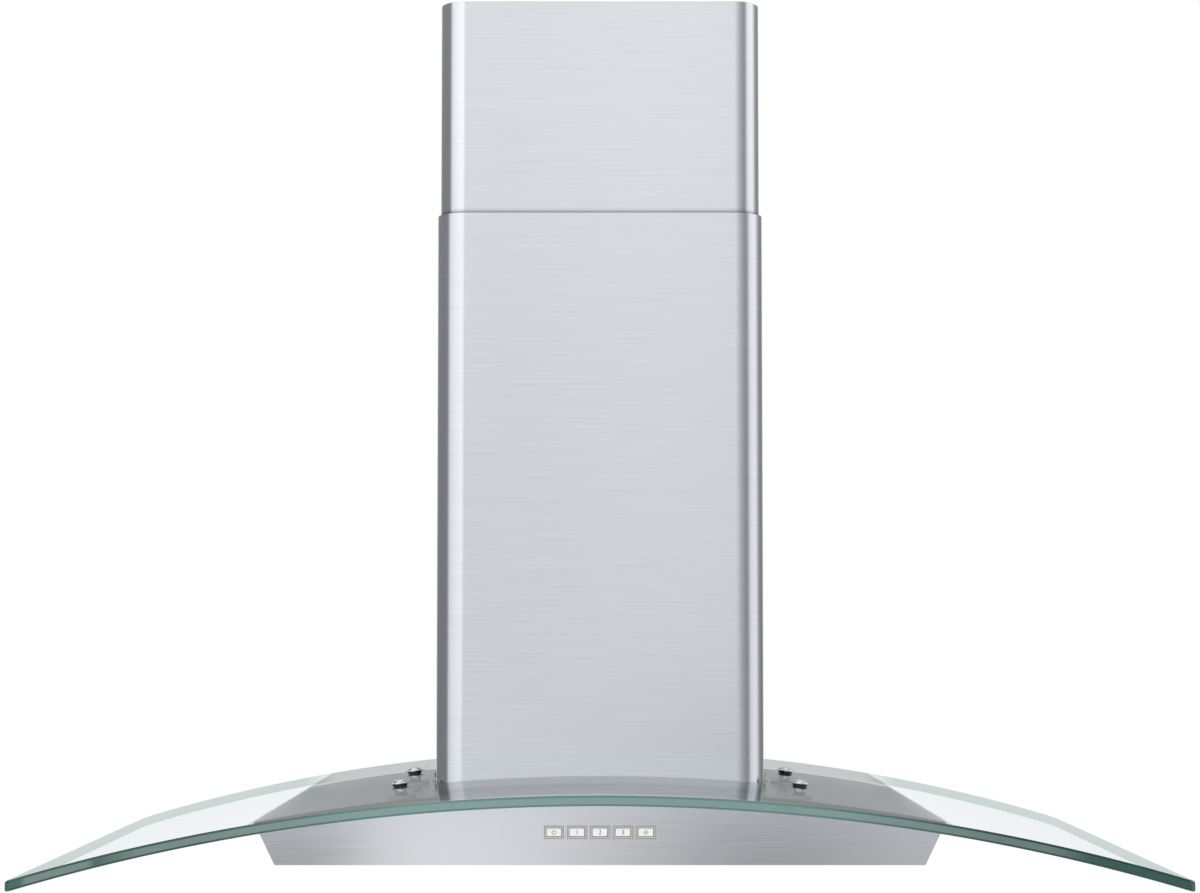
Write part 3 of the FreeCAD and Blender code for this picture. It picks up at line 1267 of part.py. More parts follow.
def cable_gland():
    """Cord inlet: threaded body through the lid, hexagon above and lock nut below, one moulding."""
    top = GLAND_HEX_H + GLAND_DOME_H
    slant = GLAND_DOME_EDGE * (1 - math.sqrt(0.5))
    dome = turned([(0, GLAND_HEX_H), (GLAND_DOME_R, GLAND_HEX_H), (GLAND_DOME_R, top - GLAND_DOME_EDGE),
                   (GLAND_DOME_R - slant, top - slant, "arc"), (GLAND_DOME_R - GLAND_DOME_EDGE, top),
                   (0, top)])
    gland = hexagon(GLAND_ACROSS, GLAND_HEX_H, GLAND_BORE).fuse(dome)
    gland = gland.fuse(Part.makeCylinder(GLAND_R, GLAND_TAIL, V(0, 0, -GLAND_TAIL)))
    nut = hexagon(GLAND_ACROSS, GLAND_NUT_H, GLAND_BORE)
    nut.translate(V(0, 0, -BOX_SHEET - GLAND_NUT_H))
    bore = Part.makeCylinder(GLAND_BORE, GLAND_TAIL + top, V(0, 0, -GLAND_TAIL))
    gland = gland.fuse(nut).cut(bore).removeSplitter()
    return aimed(gland, GLAND_X, JUNCTION_MIDDLE, BOX_TOP + JUNCTION_H + BOX_SHEET, Z_AXIS)


def nodes():
    """Every piece of the hood by name."""
    pieces = {
        "canopy_shell": canopy_shell(), "front_panel": front_panel(), "back_plate": back_plate(),
        "bottom_pan": bottom_pan(), "pan_screws": pan_screws(),
        "glass_canopy": glass_canopy(), "glass_grommets": glass_grommets(),
        "glass_washers": glass_washers(), "glass_screws": glass_screws(), "glass_nuts": glass_nuts(),
        "lower_chimney_cover": lower_chimney_cover(), "upper_chimney_cover": upper_chimney_cover(),
        "slide_pads": slide_pads(), "chimney_brackets": chimney_brackets(),
        "chimney_foot_screws": chimney_foot_screws(), "upper_wall_bracket": upper_wall_bracket(),
        "upper_cover_screws": upper_cover_screws(), "blower_box": blower_box(),
        "blower_screws": blower_screws(),
        "scroll_housing": scroll_housing(), "scroll_cover": scroll_cover(), "fan_motor": fan_motor(),
        "motor_bracket": motor_bracket(), "motor_screws": motor_screws(), "impeller": impeller(),
        "motor_shaft": motor_shaft(), "shaft_nut": shaft_nut(), "run_capacitor": run_capacitor(),
        "capacitor_strap": capacitor_strap(), "duct_collar": duct_collar(), "damper_pin": damper_pin(),
        "front_damper_flap": damper_flap(1), "rear_damper_flap": damper_flap(-1),
        "button_frame": button_frame(), "control_board": control_board(),
        "push_switches": push_switches(), "board_screws": board_screws(), "lamp_driver": lamp_driver(),
        "filter_hinge_rod": filter_hinge_rod(), "junction_box": junction_box(),
        "junction_cover": junction_cover(), "terminal_block": terminal_block(),
        "cable_gland": cable_gland(),
    }
    for number, x in enumerate(button_xs(), start=1):
        pieces[f"button_{number}"] = push_button(x)
    for name, side in (("left", -1), ("right", 1)):
        pieces[f"{name}_lamp_bezel"] = lamp_bezel(side)
        pieces[f"{name}_lamp_lens"] = lamp_lens(side)
        pieces[f"{name}_lamp_housing"] = lamp_housing(side)
        pieces[f"{name}_filter_frame"] = filter_frame(side)
        pieces[f"{name}_filter_mesh"] = filter_mesh(side)
        pieces[f"{name}_pull_ring"] = pull_ring(side)
    return pieces


os.makedirs("parts", exist_ok=True)
for name, shape in nodes().items():
    if not shape.isValid():
        raise ValueError(f"{name} is not a valid solid")
    shape.exportStep(f"parts/{name}.step")
    box = shape.BoundBox
    print(f"{name}: {len(shape.Solids)} solid, {box.XLength:.1f} x {box.YLength:.1f} x {box.ZLength:.1f}")
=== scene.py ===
"""Looks of a wall mount range hood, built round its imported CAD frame.

Metres, in the frame's own axes: +X is the viewer's right, +Y points into the wall, +Z is up.
"""
import json
import math

import bmesh
import bpy
from bpy.props import FloatProperty, FloatVectorProperty, PointerProperty
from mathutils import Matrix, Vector


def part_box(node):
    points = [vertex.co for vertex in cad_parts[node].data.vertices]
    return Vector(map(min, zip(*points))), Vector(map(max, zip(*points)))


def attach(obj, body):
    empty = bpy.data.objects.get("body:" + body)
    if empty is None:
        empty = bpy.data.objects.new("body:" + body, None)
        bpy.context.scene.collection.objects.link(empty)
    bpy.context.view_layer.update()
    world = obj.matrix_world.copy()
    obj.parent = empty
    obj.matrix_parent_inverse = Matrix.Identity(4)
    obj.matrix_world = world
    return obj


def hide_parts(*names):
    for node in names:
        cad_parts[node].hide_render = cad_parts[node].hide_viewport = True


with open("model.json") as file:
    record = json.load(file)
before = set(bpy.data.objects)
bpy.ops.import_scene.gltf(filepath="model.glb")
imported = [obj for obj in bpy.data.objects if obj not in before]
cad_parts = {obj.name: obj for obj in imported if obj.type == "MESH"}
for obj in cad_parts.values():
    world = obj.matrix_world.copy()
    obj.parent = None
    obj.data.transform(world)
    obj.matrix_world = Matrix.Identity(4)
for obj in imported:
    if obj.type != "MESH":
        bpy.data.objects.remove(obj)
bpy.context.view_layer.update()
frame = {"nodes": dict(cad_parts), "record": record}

bl_info = {
    "name": "Wall mount range hood",
    "version": (1, 0, 0),
    "blender": (4, 5, 0),
    "location": "View3D > Sidebar > Range hood",
    "description": "Covers, glass, controls, filters and finishes of a range hood, and its stage",
    "category": "Object",
}

# Two places closer than this are the same.
TINY = 1e-5
# An edge or a normal runs along an axis when more than this share of it does.
MOSTLY = 0.9
SIDES = (-1, 1)
KEYS = range(1, 6)
# Lays a round tool along Y.
LYING = (math.pi / 2, 0, 0)
# Brush marks per metre along X, Y and Z, on upright and on level sheet.
UPRIGHT_GRAIN = (12.0, 12.0, 1400.0)
LEVEL_GRAIN = (12.0, 1400.0, 1400.0)


def linear(code):
    """Linear red, green and blue of an sRGB hex colour."""
    parts = [int(code[i:i + 2], 16) / 255 for i in (0, 2, 4)]
    return tuple(p / 12.92 if p <= 0.04045 else ((p + 0.055) / 1.055) ** 2.4 for p in parts)


def length(name, description, default):
    """Property for a length in metres."""
    return FloatProperty(name=name, description=description, default=default, unit="LENGTH",
                         precision=5)


def colour(name, description, code):
    """Property for a colour given as an sRGB hex value."""
    return FloatVectorProperty(name=name, description=description, default=linear(code), size=3,
                               subtype="COLOR", min=0.0, max=1.0)


class HoodSizes(bpy.types.PropertyGroup):
    """Sizes of the pieces modelled here."""
    plate_radius: length("Plate radius", "Outer radius of the arched steel plate", 1.554)
    glass_radius: length("Glass radius", "Radius of the top of the arched glass", 1.564)
    glass_thick: length("Glass thickness", "Thickness of the glass", 0.008)
    glass_bow: length("Glass bow", "How far the front edge's middle stands out past its ends",
                      0.014)
    rear_corner: length("Rear corner", "Radius of the rear corners of the glass", 0.022)
    front_corner: length("Front corner", "Radius of the front corners of the glass", 0.008)
    # Painted shade: out to this distance from the plate's top, the steel beside it is darkened in
    # its colour.
    glass_shade_band: length("Glass gap", "How far from the plate's top the sheet beside it looks dark",
                      0.0055)
    notch_gap: length("Notch gap", "Gap between glass and chimney", 0.0015)
    arris: length("Arris", "Width of the ground chamfer along the edges of the glass", 0.0016)
    sliver: length("Sliver", "Longest of the slivers that the cuts leave in the glass", 0.0003)
    hole_radius: length("Glass hole", "Radius of the holes for the glass screws", 0.0048)
    cover_corner: length("Cover corner", "Radius of the front bends of the lower chimney cover",
                         0.024)
    cover_sheet: length("Cover sheet", "Thickness of the chimney covers", 0.0008)
    cover_step: length("Cover step", "How far the upper cover stands inside the lower one", 0.0025)
    cover_trim: length("Cover trim", "How far the upper cover's sheet ends below its solid",
                       0.0047)
    # Painted shade: out to this distance from a lip, ambient occlusion darkens the upper cover's
    # colour.
    cover_shade_reach: length("Cover crevice", "How far from a lip the upper cover looks dark", 0.005)
    cover_hold: length("Cover hold", "Distance of the holding lines from a cover's bends", 0.001)
    cover_flange: length("Cover flange", "Width of the flange at the rear of the lower cover",
                         0.01)
    eased: length("Eased edge", "Width of the eased edges of sheet and screws", 0.0002)
    screw_side: length("Screw side", "Distance of the glass screws from the middle", 0.167)
    screw_rear: length("Rear screws", "Distance of the rear glass screws from the wall", 0.171)
    screw_front: length("Front screws", "Distance of the front glass screws from the wall", 0.307)
    screw_brim: length("Screw brim", "Radius of the brim of a glass screw", 0.0078)
    screw_edge: length("Screw edge", "Thickness of the brim", 0.0007)
    screw_droop: length("Screw droop", "How far the brim droops", 0.00028)
    screw_crown: length("Screw crown", "Radius of the dome on the brim", 0.0058)
    screw_dome: length("Screw dome", "Height of the dome above its brim", 0.0024)
    screw_neck: length("Screw neck", "Radius of the washer under the brim", 0.006)
    screw_lift: length("Screw lift", "Height of the brim above the glass", 0.002)
    screw_shank: length("Screw shank", "Radius of the shank", 0.003)
    screw_length: length("Screw length", "Length of washer and shank below the brim", 0.0206)
    bezel_wide: length("Bezel width", "Width of the frame round a push button", 0.0164)
    bezel_tall: length("Bezel height", "Height of the frame round a push button", 0.0106)
    # Painted shade lines: their width along each frame.
    bezel_shade_width: length("Bezel line", "Width of the dark lines along a frame", 0.00045)
    bezel_clear: length("Bezel clearance", "Gap between a frame and the cap in it", 0.0002)
    bezel_proud: length("Bezel rise", "How far a frame stands out past its solid", 0.00015)
    bezel_sunk: length("Bezel depth", "How far a frame reaches into its solid", 0.0006)
    key_flange: length("Key flange", "How far a key's flange stands out round its cap", 0.001)
    key_edge: length("Key edge", "Radius of the edges of a key", 0.0006)
    key_rim: length("Key rim", "Width of the rim round a key's dished face", 0.0014)
    key_dish: length("Key dish", "Depth of the dish", 0.00012)
    key_depth: length("Key depth", "Depth of a key's cap", 0.006)
    key_back: length("Key back", "Thickness of a key's flange", 0.0016)
    key_stem: length("Key stem", "Width of a key's stem", 0.0032)
    key_mark: length("Key mark", "Height of the mark on a key", 0.0044)
    key_print: length("Key print", "Thickness of the printed mark", 0.00003)
    mesh_cell: length("Mesh cell", "Short diagonal of the filters' expanded mesh", 0.005)
    mesh_strand: length("Mesh strand", "Thickness of the strands of the mesh", 0.0009)
    mesh_margin: length("Mesh margin", "Gap between mesh and frame", 0.0005)
    mesh_backing: length("Mesh backing", "Thickness of the sheet behind the mesh", 0.0006)


class HoodColours(bpy.types.PropertyGroup):
    """Colours of the finishes."""
    steel: colour("Stainless steel", "Face of the brushed sheet", "d3d5d9")
    steel_grain: colour("Steel grain", "Hairlines of the brushed sheet", "cdd0d4")
    zinc_light: colour("Galvanised, light", "Bright crystals of the zinc coat", "b9bec2")
    zinc_dark: colour("Galvanised, dark", "Dull crystals of the zinc coat", "8d9499")
    glass_tint: colour("Glass", "What clear glass leaves of the light", "fdfefe")
    glass_sheen: colour("Glass sheen", "Tint of what the glass mirrors", "f9fbfb")
    glass_edge: colour("Glass edge", "Ground edge of the glass at its middle", "7a9692")
    # Painted shade: the darker greens of the edge and its arris, towards the tips.
    glass_edge_half_shade: colour("Glass edge, mid", "Ground edge half way to the tips", "667c78")
    glass_edge_tip_shade: colour("Glass edge, deep", "Ground edge at the tips", "2f5650")
    glass_arris: colour("Glass arris", "Chamfer along the edges, at the middle", "5c807a")
    glass_arris_tip_shade: colour("Glass arris, deep", "Chamfer along the edges, at the tips", "164437")
    glass_far: colour("Far edge", "Light that comes in through the rear edge", "f2fbfa")
    glass_side: colour("Side edge", "Light that comes in through the side edges", "5f948a")
    glass_seam: colour("Seamed edge", "Light that comes through the edge round the chimney",
                       "a2acb3")
    chrome: colour("Chrome", "Polished plating of the glass screws", "e3e4e7")
    screw_zinc: colour("Zinc plate", "Bright plating of small screws", "b7bac0")
    bright_steel: colour("Drawn steel", "Rods, rings and shafts", "c2c5c9")
    aluminium: colour("Aluminium", "Satin frames, cans and mesh", "c9cbcc")
    black: colour("Black moulding", "Scroll, fan wheel and gland", "1c1d1f")
    white: colour("White moulding", "Lamp supply and terminals", "e2e2de")
    nylon: colour("Nylon", "Slide pads", "e6e3d8")
    grommet: colour("Grommet", "Soft collars round the glass screws", "8d9294")
    key: colour("Key", "Push buttons", "f4f4f2")
    key_ink: colour("Key ink", "Marks on the push buttons", "6a6a6c")
    bezel: colour("Bezel", "Thin frames round the push buttons", "d0cdc8")
    # Painted shade: dark lines that stand in for the shade along the frames' steps and gaps.
    bezel_painted_shade: colour("Bezel edge", "Dark lines along these frames", "6f665f")
    board: colour("Circuit board", "Solder mask of the board", "1d5a35")
    lens: colour("Lamp lens", "Frosted discs of the lamps", "efeee9")
    can: colour("Capacitor", "Moulded can of the run capacitor", "d6d5cf")
    floor: colour("Floor", "Studio floor", "eeeeee")
    fill: colour("Fill light", "Light from all round on matt surfaces", "fafdff")
    flag: colour("Flag", "Cloth of the flag behind the hood", "feffff")


class HoodStage(bpy.types.PropertyGroup):
    """Camera and studio."""
    lens: FloatProperty(name="Lens", description="Focal length of the camera", default=61.4,
                        unit="CAMERA")
    distance: length("Camera distance", "Distance of the camera from the wall", 2.037)
    height: length("Camera height", "Height of the camera over the body's underside", 0.2105)
    tilt: FloatProperty(name="Tilt", description="How far the camera looks up",
                        default=math.radians(2.53), subtype="ANGLE")
    rise: FloatProperty(name="Rise", description="Upward shift of the picture", default=0.061)
    flag_back: length("Flag distance", "Distance of the grey flag behind the wall", 5.8)
    flag_low: length("Flag foot", "Height of the flag's foot", 0.0)
    flag_high: length("Flag top", "Height of the flag's top", 3.0)
    flag_half: length("Flag half width", "Half of the flag's width at its foot", 0.029)
    flag_lean: FloatProperty(name="Flag lean", description="Growth of its half width with height",
                             default=4.75)
    tent_radius: length("Tent radius", "Radius of the light tent", 6.0)
    box_place: FloatVectorProperty(name="Soft box", description="Place of the soft box",
                                   default=(-1.9, -2.4, 1.7), size=3, unit="LENGTH")
    box_side: length("Soft box side", "Side of the square soft box", 1.6)
    box_power: FloatProperty(name="Soft box power", description="Power of the soft box",
                             default=55.0, unit="POWER")
    middle: FloatVectorProperty(name="Middle", description="What the soft box points at",
                                default=(0, -0.25, 0.3), size=3, unit="LENGTH")
    floor_drop: length("Floor", "How far the floor lies below the hood", 1.2)
    floor_side: length("Floor side", "Side of the square floor", 12.0)
    fade_start: length("Fade start", "Distance from which the floor fades into the backdrop", 1.0)
    fade_end: length("Fade end", "Distance where the floor has faded", 5.0)


def settings():
    """Sizes, colours and stage as the scene holds them."""
    scene = bpy.context.scene
    return scene.hood_sizes, scene.hood_colours, scene.hood_stage


# Small steps that the operators share

def clear():
    """Leave edit mode and deselect everything."""
    if bpy.context.mode != "OBJECT":
        bpy.ops.object.mode_set(mode="OBJECT")
    bpy.ops.object.select_all(action="DESELECT")


def single(piece):
    """Make one object the only selected one, and the active one."""
    clear()
    piece.select_set(True)
    bpy.context.view_layer.objects.active = piece


def settle(name):
    """Name the new object and put its place into its mesh."""
    piece = bpy.context.active_object
    piece.name = name
    bpy.ops.object.transform_apply(location=True, rotation=True, scale=True)
    return piece


def add_block(name, low, high):
    """Cube primitive between two corners."""
    clear()
    low, high = Vector(low), Vector(high)
    bpy.ops.mesh.primitive_cube_add(size=1.0, location=(low + high) / 2, scale=high - low)
    return settle(name)


def add_round(name, radius, depth, place, turn=(0.0, 0.0, 0.0), steps=96):
    """Cylinder primitive at its size and place."""
    clear()
    bpy.ops.mesh.primitive_cylinder_add(vertices=steps, radius=radius, depth=depth, location=place,
                                        rotation=turn)
    return settle(name)


def edit(piece):
    """Open one object in edit mode."""
    single(piece)
    bpy.ops.object.mode_set(mode="EDIT")
    bpy.ops.mesh.select_all(action="SELECT")


def choose(piece, kind, test):
    """In edit mode, select the vertices, edges or faces whose middle and direction pass a test."""
    bpy.ops.mesh.select_mode(type=kind)
    bpy.ops.mesh.select_all(action="DESELECT")
    mesh = bmesh.from_edit_mesh(piece.data)
    if kind == "VERT":
        parts = [(v, v.co, v.normal) for v in mesh.verts]
    elif kind == "EDGE":
        ends = [(e, e.verts[0].co, e.verts[1].co) for e in mesh.edges]
        parts = [(e, (a + b) / 2, (b - a).normalized()) for e, a, b in ends]
    else:
        parts = [(f, f.calc_center_median(), f.normal) for f in mesh.faces]
    for part, middle, direction in parts:
        if test(middle, direction):
            part.select_set(True)
    mesh.select_flush_mode()
    bmesh.update_edit_mesh(piece.data)


def slice_at(point, normal, **options):
    """In edit mode, cut the whole mesh by a plane."""
    bpy.ops.mesh.select_all(action="SELECT")
    bpy.ops.mesh.bisect(plane_co=point, plane_no=normal, **options)


def push(x=0.0, y=0.0, z=0.0):
    """In edit mode, extrude what is selected."""
    bpy.ops.mesh.extrude_region_move(TRANSFORM_OT_translate={"value": (x, y, z)})


def widen(factors, centre):
    """In edit mode, scale what is selected about a point."""
    bpy.ops.transform.resize(value=factors, center_override=centre)


def round_edges(radius, steps):
    """In edit mode, round the selected edges."""
    bpy.ops.mesh.bevel(offset=radius, segments=steps, affect="EDGES", clamp_overlap=False)


def modify(piece, kind, **values):
    """Add a modifier with its settings and apply it."""
    single(piece)
    bpy.ops.object.modifier_add(type=kind)
    modifier = piece.modifiers[-1]
    for name, value in values.items():
        setattr(modifier, name, value)
    bpy.ops.object.modifier_apply(modifier=modifier.name)


def ease(piece, width, **values):
    """Ease the sharp edges of a piece."""
    modify(piece, "BEVEL", width=width, segments=2, limit_method="ANGLE",
           angle_limit=math.radians(50), **values)


def cut(piece, tool, operation="DIFFERENCE"):
    """Cut a piece by a tool, which is then deleted."""
    modify(piece, "BOOLEAN", object=tool, operation=operation, solver="EXACT")
    bpy.data.objects.remove(tool)


def copy_at(piece, name, place, turn=(0.0, 0.0, 0.0)):
    """Copy a piece with its own mesh, turn it and move it into place."""
    single(piece)
    bpy.ops.object.duplicate(linked=False)
    twin = bpy.context.active_object
    twin.rotation_euler = turn
    twin.location = place
    return settle(name)


def dress(piece, body, finishes, nodes=(), angle=30.0):
    """Smooth a piece, give it its finishes and body, and hide the CAD nodes it stands for."""
    single(piece)
    bpy.ops.object.shade_smooth_by_angle(angle=math.radians(angle))
    for finish in finishes:
        piece.data.materials.append(finish)
    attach(piece, body)
    if nodes:
        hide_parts(*nodes)


# Finishes

def add(tree, kind, inputs=None, stops=None, **values):
    """Add a node, set its properties and colour stops, then set or link its inputs.

    A node given as an input is linked by its first output in use.
    """
    node = tree.nodes.new("ShaderNode" + kind)
    for name, value in values.items():
        setattr(node, name, value)
    if stops:
        ramp = node.color_ramp.elements
        while len(ramp) < len(stops):
            ramp.new(1.0)
        for element, (place, shade) in zip(ramp, stops):
            element.position = place
            element.color = (*shade, 1.0)
    for name, value in (inputs or {}).items():
        socket = node.inputs[name]
        if isinstance(value, bpy.types.Node):
            value = next(output for output in value.outputs if output.enabled)
        if isinstance(value, bpy.types.NodeSocket):
            tree.links.new(value, socket)
        elif socket.type == "RGBA":
            socket.default_value = (*value, 1.0)
        else:
            socket.default_value = value
    return node


def begin(name):
    """New material with an empty node tree, and its Object coordinates."""
    material = bpy.data.materials.new(name)
    material.use_nodes = True
    tree = material.node_tree
    tree.nodes.clear()
    place = add(tree, "TexCoord")
    return material, tree, place.outputs["Object"]


def brushed_sheet(name, grain, low, high, shade_reach=0.0, gap=0.0):
    """Stainless sheet brushed along one direction; grain gives repeats per metre along X, Y and Z.

    The last two arguments, when set, are distances within which shade is painted into its colour:
    from its neighbours, and from the arched plate's top.
    """
    # Parallel scratches spread the reflections across the grain and keep them crisp along it.
    # They are about 0.1 mm apart, and are drawn 0.7 mm apart so that they show.
    material, tree, place = begin(name)
    sizes, colours, _ = settings()
    run = add(tree, "Mapping", {"Vector": place, "Scale": grain})
    hair = add(tree, "TexNoise", {"Vector": run, "Scale": 1.0, "Detail": 3.0, "Roughness": 0.6})
    face = add(tree, "ValToRGB", {"Fac": hair},
               [(0.3, colours.steel_grain), (0.62, colours.steel)])
    shades = []
    if shade_reach:
        # Painted shade: ambient occlusion darkens the colour close to a lip, for the dark slit
        # beside it.
        painted_occlusion = add(tree, "AmbientOcclusion", {"Distance": shade_reach}, samples=12)
        shades.append(add(tree, "MapRange",
                          {"Value": painted_occlusion.outputs["AO"], "From Min": 0.6, "To Min": 0.1}))
    if gap:
        # Painted shade: the colour darkens close to the plate's top, for the narrow gap between
        # plate and glass.
        flat = add(tree, "VectorMath", {0: place, 1: (1, 0, 1)}, operation="MULTIPLY")
        axis = (0, 0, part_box("canopy_shell")[1].z - sizes.plate_radius)
        reach = add(tree, "VectorMath", {0: flat, 1: axis}, operation="DISTANCE")
        rise = add(tree, "Math", {0: reach, 1: sizes.plate_radius}, operation="SUBTRACT")
        off = add(tree, "Math", {0: rise}, operation="ABSOLUTE")
        shades.append(add(tree, "MapRange",
                          {"Value": off, "From Min": 0.5 * gap, "From Max": gap, "To Min": 0.15}))
    for shade in shades:
        face = add(tree, "Mix", {0: 1.0, 6: face, 7: shade}, data_type="RGBA",
                   blend_type="MULTIPLY")
    rough = add(tree, "MapRange", {"Value": hair, "From Min": 0.3, "From Max": 0.7, "To Min": low,
                                   "To Max": high})
    bump = add(tree, "Bump", {"Height": hair, "Strength": 0.015, "Distance": 0.0001})
    along = add(tree, "Tangent", direction_type="RADIAL", axis="Z")
    shader = add(tree, "BsdfPrincipled",
                 {"Base Color": face, "Metallic": 1.0, "Roughness": rough, "Anisotropic": 0.35,
                  "Anisotropic Rotation": 0.25, "Tangent": along, "Normal": bump})
    add(tree, "OutputMaterial", {"Surface": shader})
    return material


def galvanised_sheet():
    """Hot-dip galvanised steel sheet."""
    # Spangle: flat zinc crystals 8 to 12 mm across, each a slightly different grey and gloss.
    material, tree, place = begin("galvanised_sheet_spangled")
    colours = settings()[1]
    crystal = add(tree, "TexVoronoi", {"Vector": place, "Scale": 100.0, "Randomness": 1.0})
    grey = add(tree, "SeparateColor", {"Color": crystal.outputs["Color"]})
    tone = add(tree, "ValToRGB", {"Fac": grey.outputs["Red"]},
               [(0.0, colours.zinc_dark), (1.0, colours.zinc_light)])
    rough = add(tree, "MapRange", {"Value": grey.outputs["Green"], "To Min": 0.38, "To Max": 0.55})
    shader = add(tree, "BsdfPrincipled", {"Base Color": tone, "Metallic": 0.9, "Roughness": rough})
    add(tree, "OutputMaterial", {"Surface": shader})
    return material


def clear_glass():
    """Tempered float glass, polished faces."""
    # Thin clear sheet: the background shows straight through, and the sheen grows at flat angles.
    # Roller waves about 60 mm long bend the reflections very slightly.
    material, tree, place = begin("tempered_glass_clear")
    colours = settings()[1]
    wave = add(tree, "TexNoise", {"Vector": place, "Scale": 16.0, "Detail": 0.0})
    bump = add(tree, "Bump", {"Height": wave, "Strength": 0.01, "Distance": 0.001})
    facing = add(tree, "LayerWeight", {"Blend": 0.5})
    steep = add(tree, "Math", {0: facing.outputs["Facing"], 1: 5.0}, operation="POWER")
    sheen = add(tree, "MapRange", {"Value": steep, "To Min": 0.05, "To Max": 0.86})
    # Both faces mirror almost the same picture, so the face towards the light shows it for both.
    side = add(tree, "NewGeometry")
    gloss = add(tree, "MapRange", {"Value": side.outputs["Backfacing"], "To Min": sheen,
                                   "To Max": 0.0})
    through = add(tree, "BsdfTransparent", {"Color": colours.glass_tint})
    mirror = add(tree, "BsdfGlossy", {"Color": colours.glass_sheen, "Roughness": 0.01,
                                      "Normal": bump})
    mixed = add(tree, "MixShader", {0: gloss, 1: through, 2: mirror})
    add(tree, "OutputMaterial", {"Surface": mixed})
    return material


def glass_edge(name, tones, far, rough, opaque=1.0, ends=()):
    """Edge of the glass: tones are its colours along X, far the light it lets in from behind.

    With ends, the light it lets in changes along X too. The tones hold painted shade and a painted
    reflection.
    """
    # From outside, an edge gathers the green of the sheet behind it. From inside, light comes in.
    # The grit of the wheel leaves marks of about 0.3 mm, drawn 2.5 mm long so that they show.
    material, tree, place = begin(name)
    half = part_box("glass_canopy")[1].x
    spot = add(tree, "SeparateXYZ", {"Vector": place})
    across = add(tree, "MapRange", {"Value": spot.outputs["X"], "From Min": -half,
                                    "From Max": half})
    shades = []
    for stops in (tones, ends):
        if stops:
            stops = [((1 + x / half) / 2, shade) for x, shade in stops]
            shades.append(add(tree, "ValToRGB", {"Fac": across}, stops))
    grind = add(tree, "TexNoise", {"Vector": place, "Scale": 400.0, "Detail": 2.0})
    grit = add(tree, "MapRange", {"Value": grind, "From Min": 0.2, "From Max": 0.8, "To Min": 0.9,
                                  "To Max": 1.0})
    face = add(tree, "Mix", {0: 1.0, 6: shades[0], 7: grit}, data_type="RGBA",
               blend_type="MULTIPLY")
    shader = add(tree, "BsdfPrincipled",
                 {"Base Color": face, "Roughness": rough, "IOR": 1.52, "Alpha": opaque})
    light = add(tree, "BsdfTransparent", {"Color": shades[1] if ends else far})
    side = add(tree, "NewGeometry")
    mixed = add(tree, "MixShader", {0: side.outputs["Backfacing"], 1: shader, 2: light})
    add(tree, "OutputMaterial", {"Surface": mixed})
    return material


def plain_metal(name, face, low, high, grain):
    """Metal with fine marks or haze, grain of them per metre; low and high bound its roughness."""
    material, tree, place = begin(name)
    haze = add(tree, "TexNoise", {"Vector": place, "Scale": grain, "Detail": 4.0})
    tone = add(tree, "ValToRGB", {"Fac": haze}, [(0.25, [0.86 * c for c in face]), (0.75, face)])
    rough = add(tree, "MapRange", {"Value": haze, "From Min": 0.3, "From Max": 0.7, "To Min": low,
                                   "To Max": high})
    shader = add(tree, "BsdfPrincipled", {"Base Color": tone, "Metallic": 1.0, "Roughness": rough})
    add(tree, "OutputMaterial", {"Surface": shader})
    return material


def moulding(name, face, rough, grit, depth):
    """Moulded plastic with the fine texture of its tool; grit is its repeats per metre."""
    material, tree, place = begin(name)
    skin = add(tree, "TexNoise", {"Vector": place, "Scale": grit, "Detail": 3.0})
    tone = add(tree, "ValToRGB", {"Fac": skin}, [(0.25, [0.88 * c for c in face]), (0.7, face)])
    bump = add(tree, "Bump", {"Height": skin, "Strength": 0.3, "Distance": depth})
    shader = add(tree, "BsdfPrincipled",
                 {"Base Color": tone, "Roughness": rough, "IOR": 1.5, "Normal": bump})
    add(tree, "OutputMaterial", {"Surface": shader})
    return material


def circuit_board():
    """Glass-fibre board under green solder mask."""
    # The copper tracks show through the mask as a paler net, 1.25 mm by 0.6 mm.
    material, tree, place = begin("circuit_board_green")
    face = settings()[1].board
    track = add(tree, "TexBrick", {"Vector": place, "Scale": 400.0, "Color1": face,
                                   "Color2": [0.8 * c for c in face],
                                   "Mortar": [1.6 * c for c in face], "Mortar Size": 0.06})
    shader = add(tree, "BsdfPrincipled", {"Base Color": track, "Roughness": 0.35, "IOR": 1.5})
    add(tree, "OutputMaterial", {"Surface": shader})
    return material


def frosted_lens():
    """Frosted polycarbonate."""
    # Small lenses 2 mm across under a matt skin spread the lamp's light.
    material, tree, place = begin("polycarbonate_frosted")
    face = settings()[1].lens
    pearl = add(tree, "TexVoronoi", {"Vector": place, "Scale": 500.0, "Randomness": 0.15})
    tone = add(tree, "ValToRGB", {"Fac": pearl}, [(0.0, face), (0.8, [0.85 * c for c in face])])
    bump = add(tree, "Bump", {"Height": pearl, "Strength": 0.4, "Distance": 0.0005})
    shader = add(tree, "BsdfPrincipled",
                 {"Base Color": tone, "Roughness": 0.45, "IOR": 1.58, "Normal": bump})
    add(tree, "OutputMaterial", {"Surface": shader})
    return material


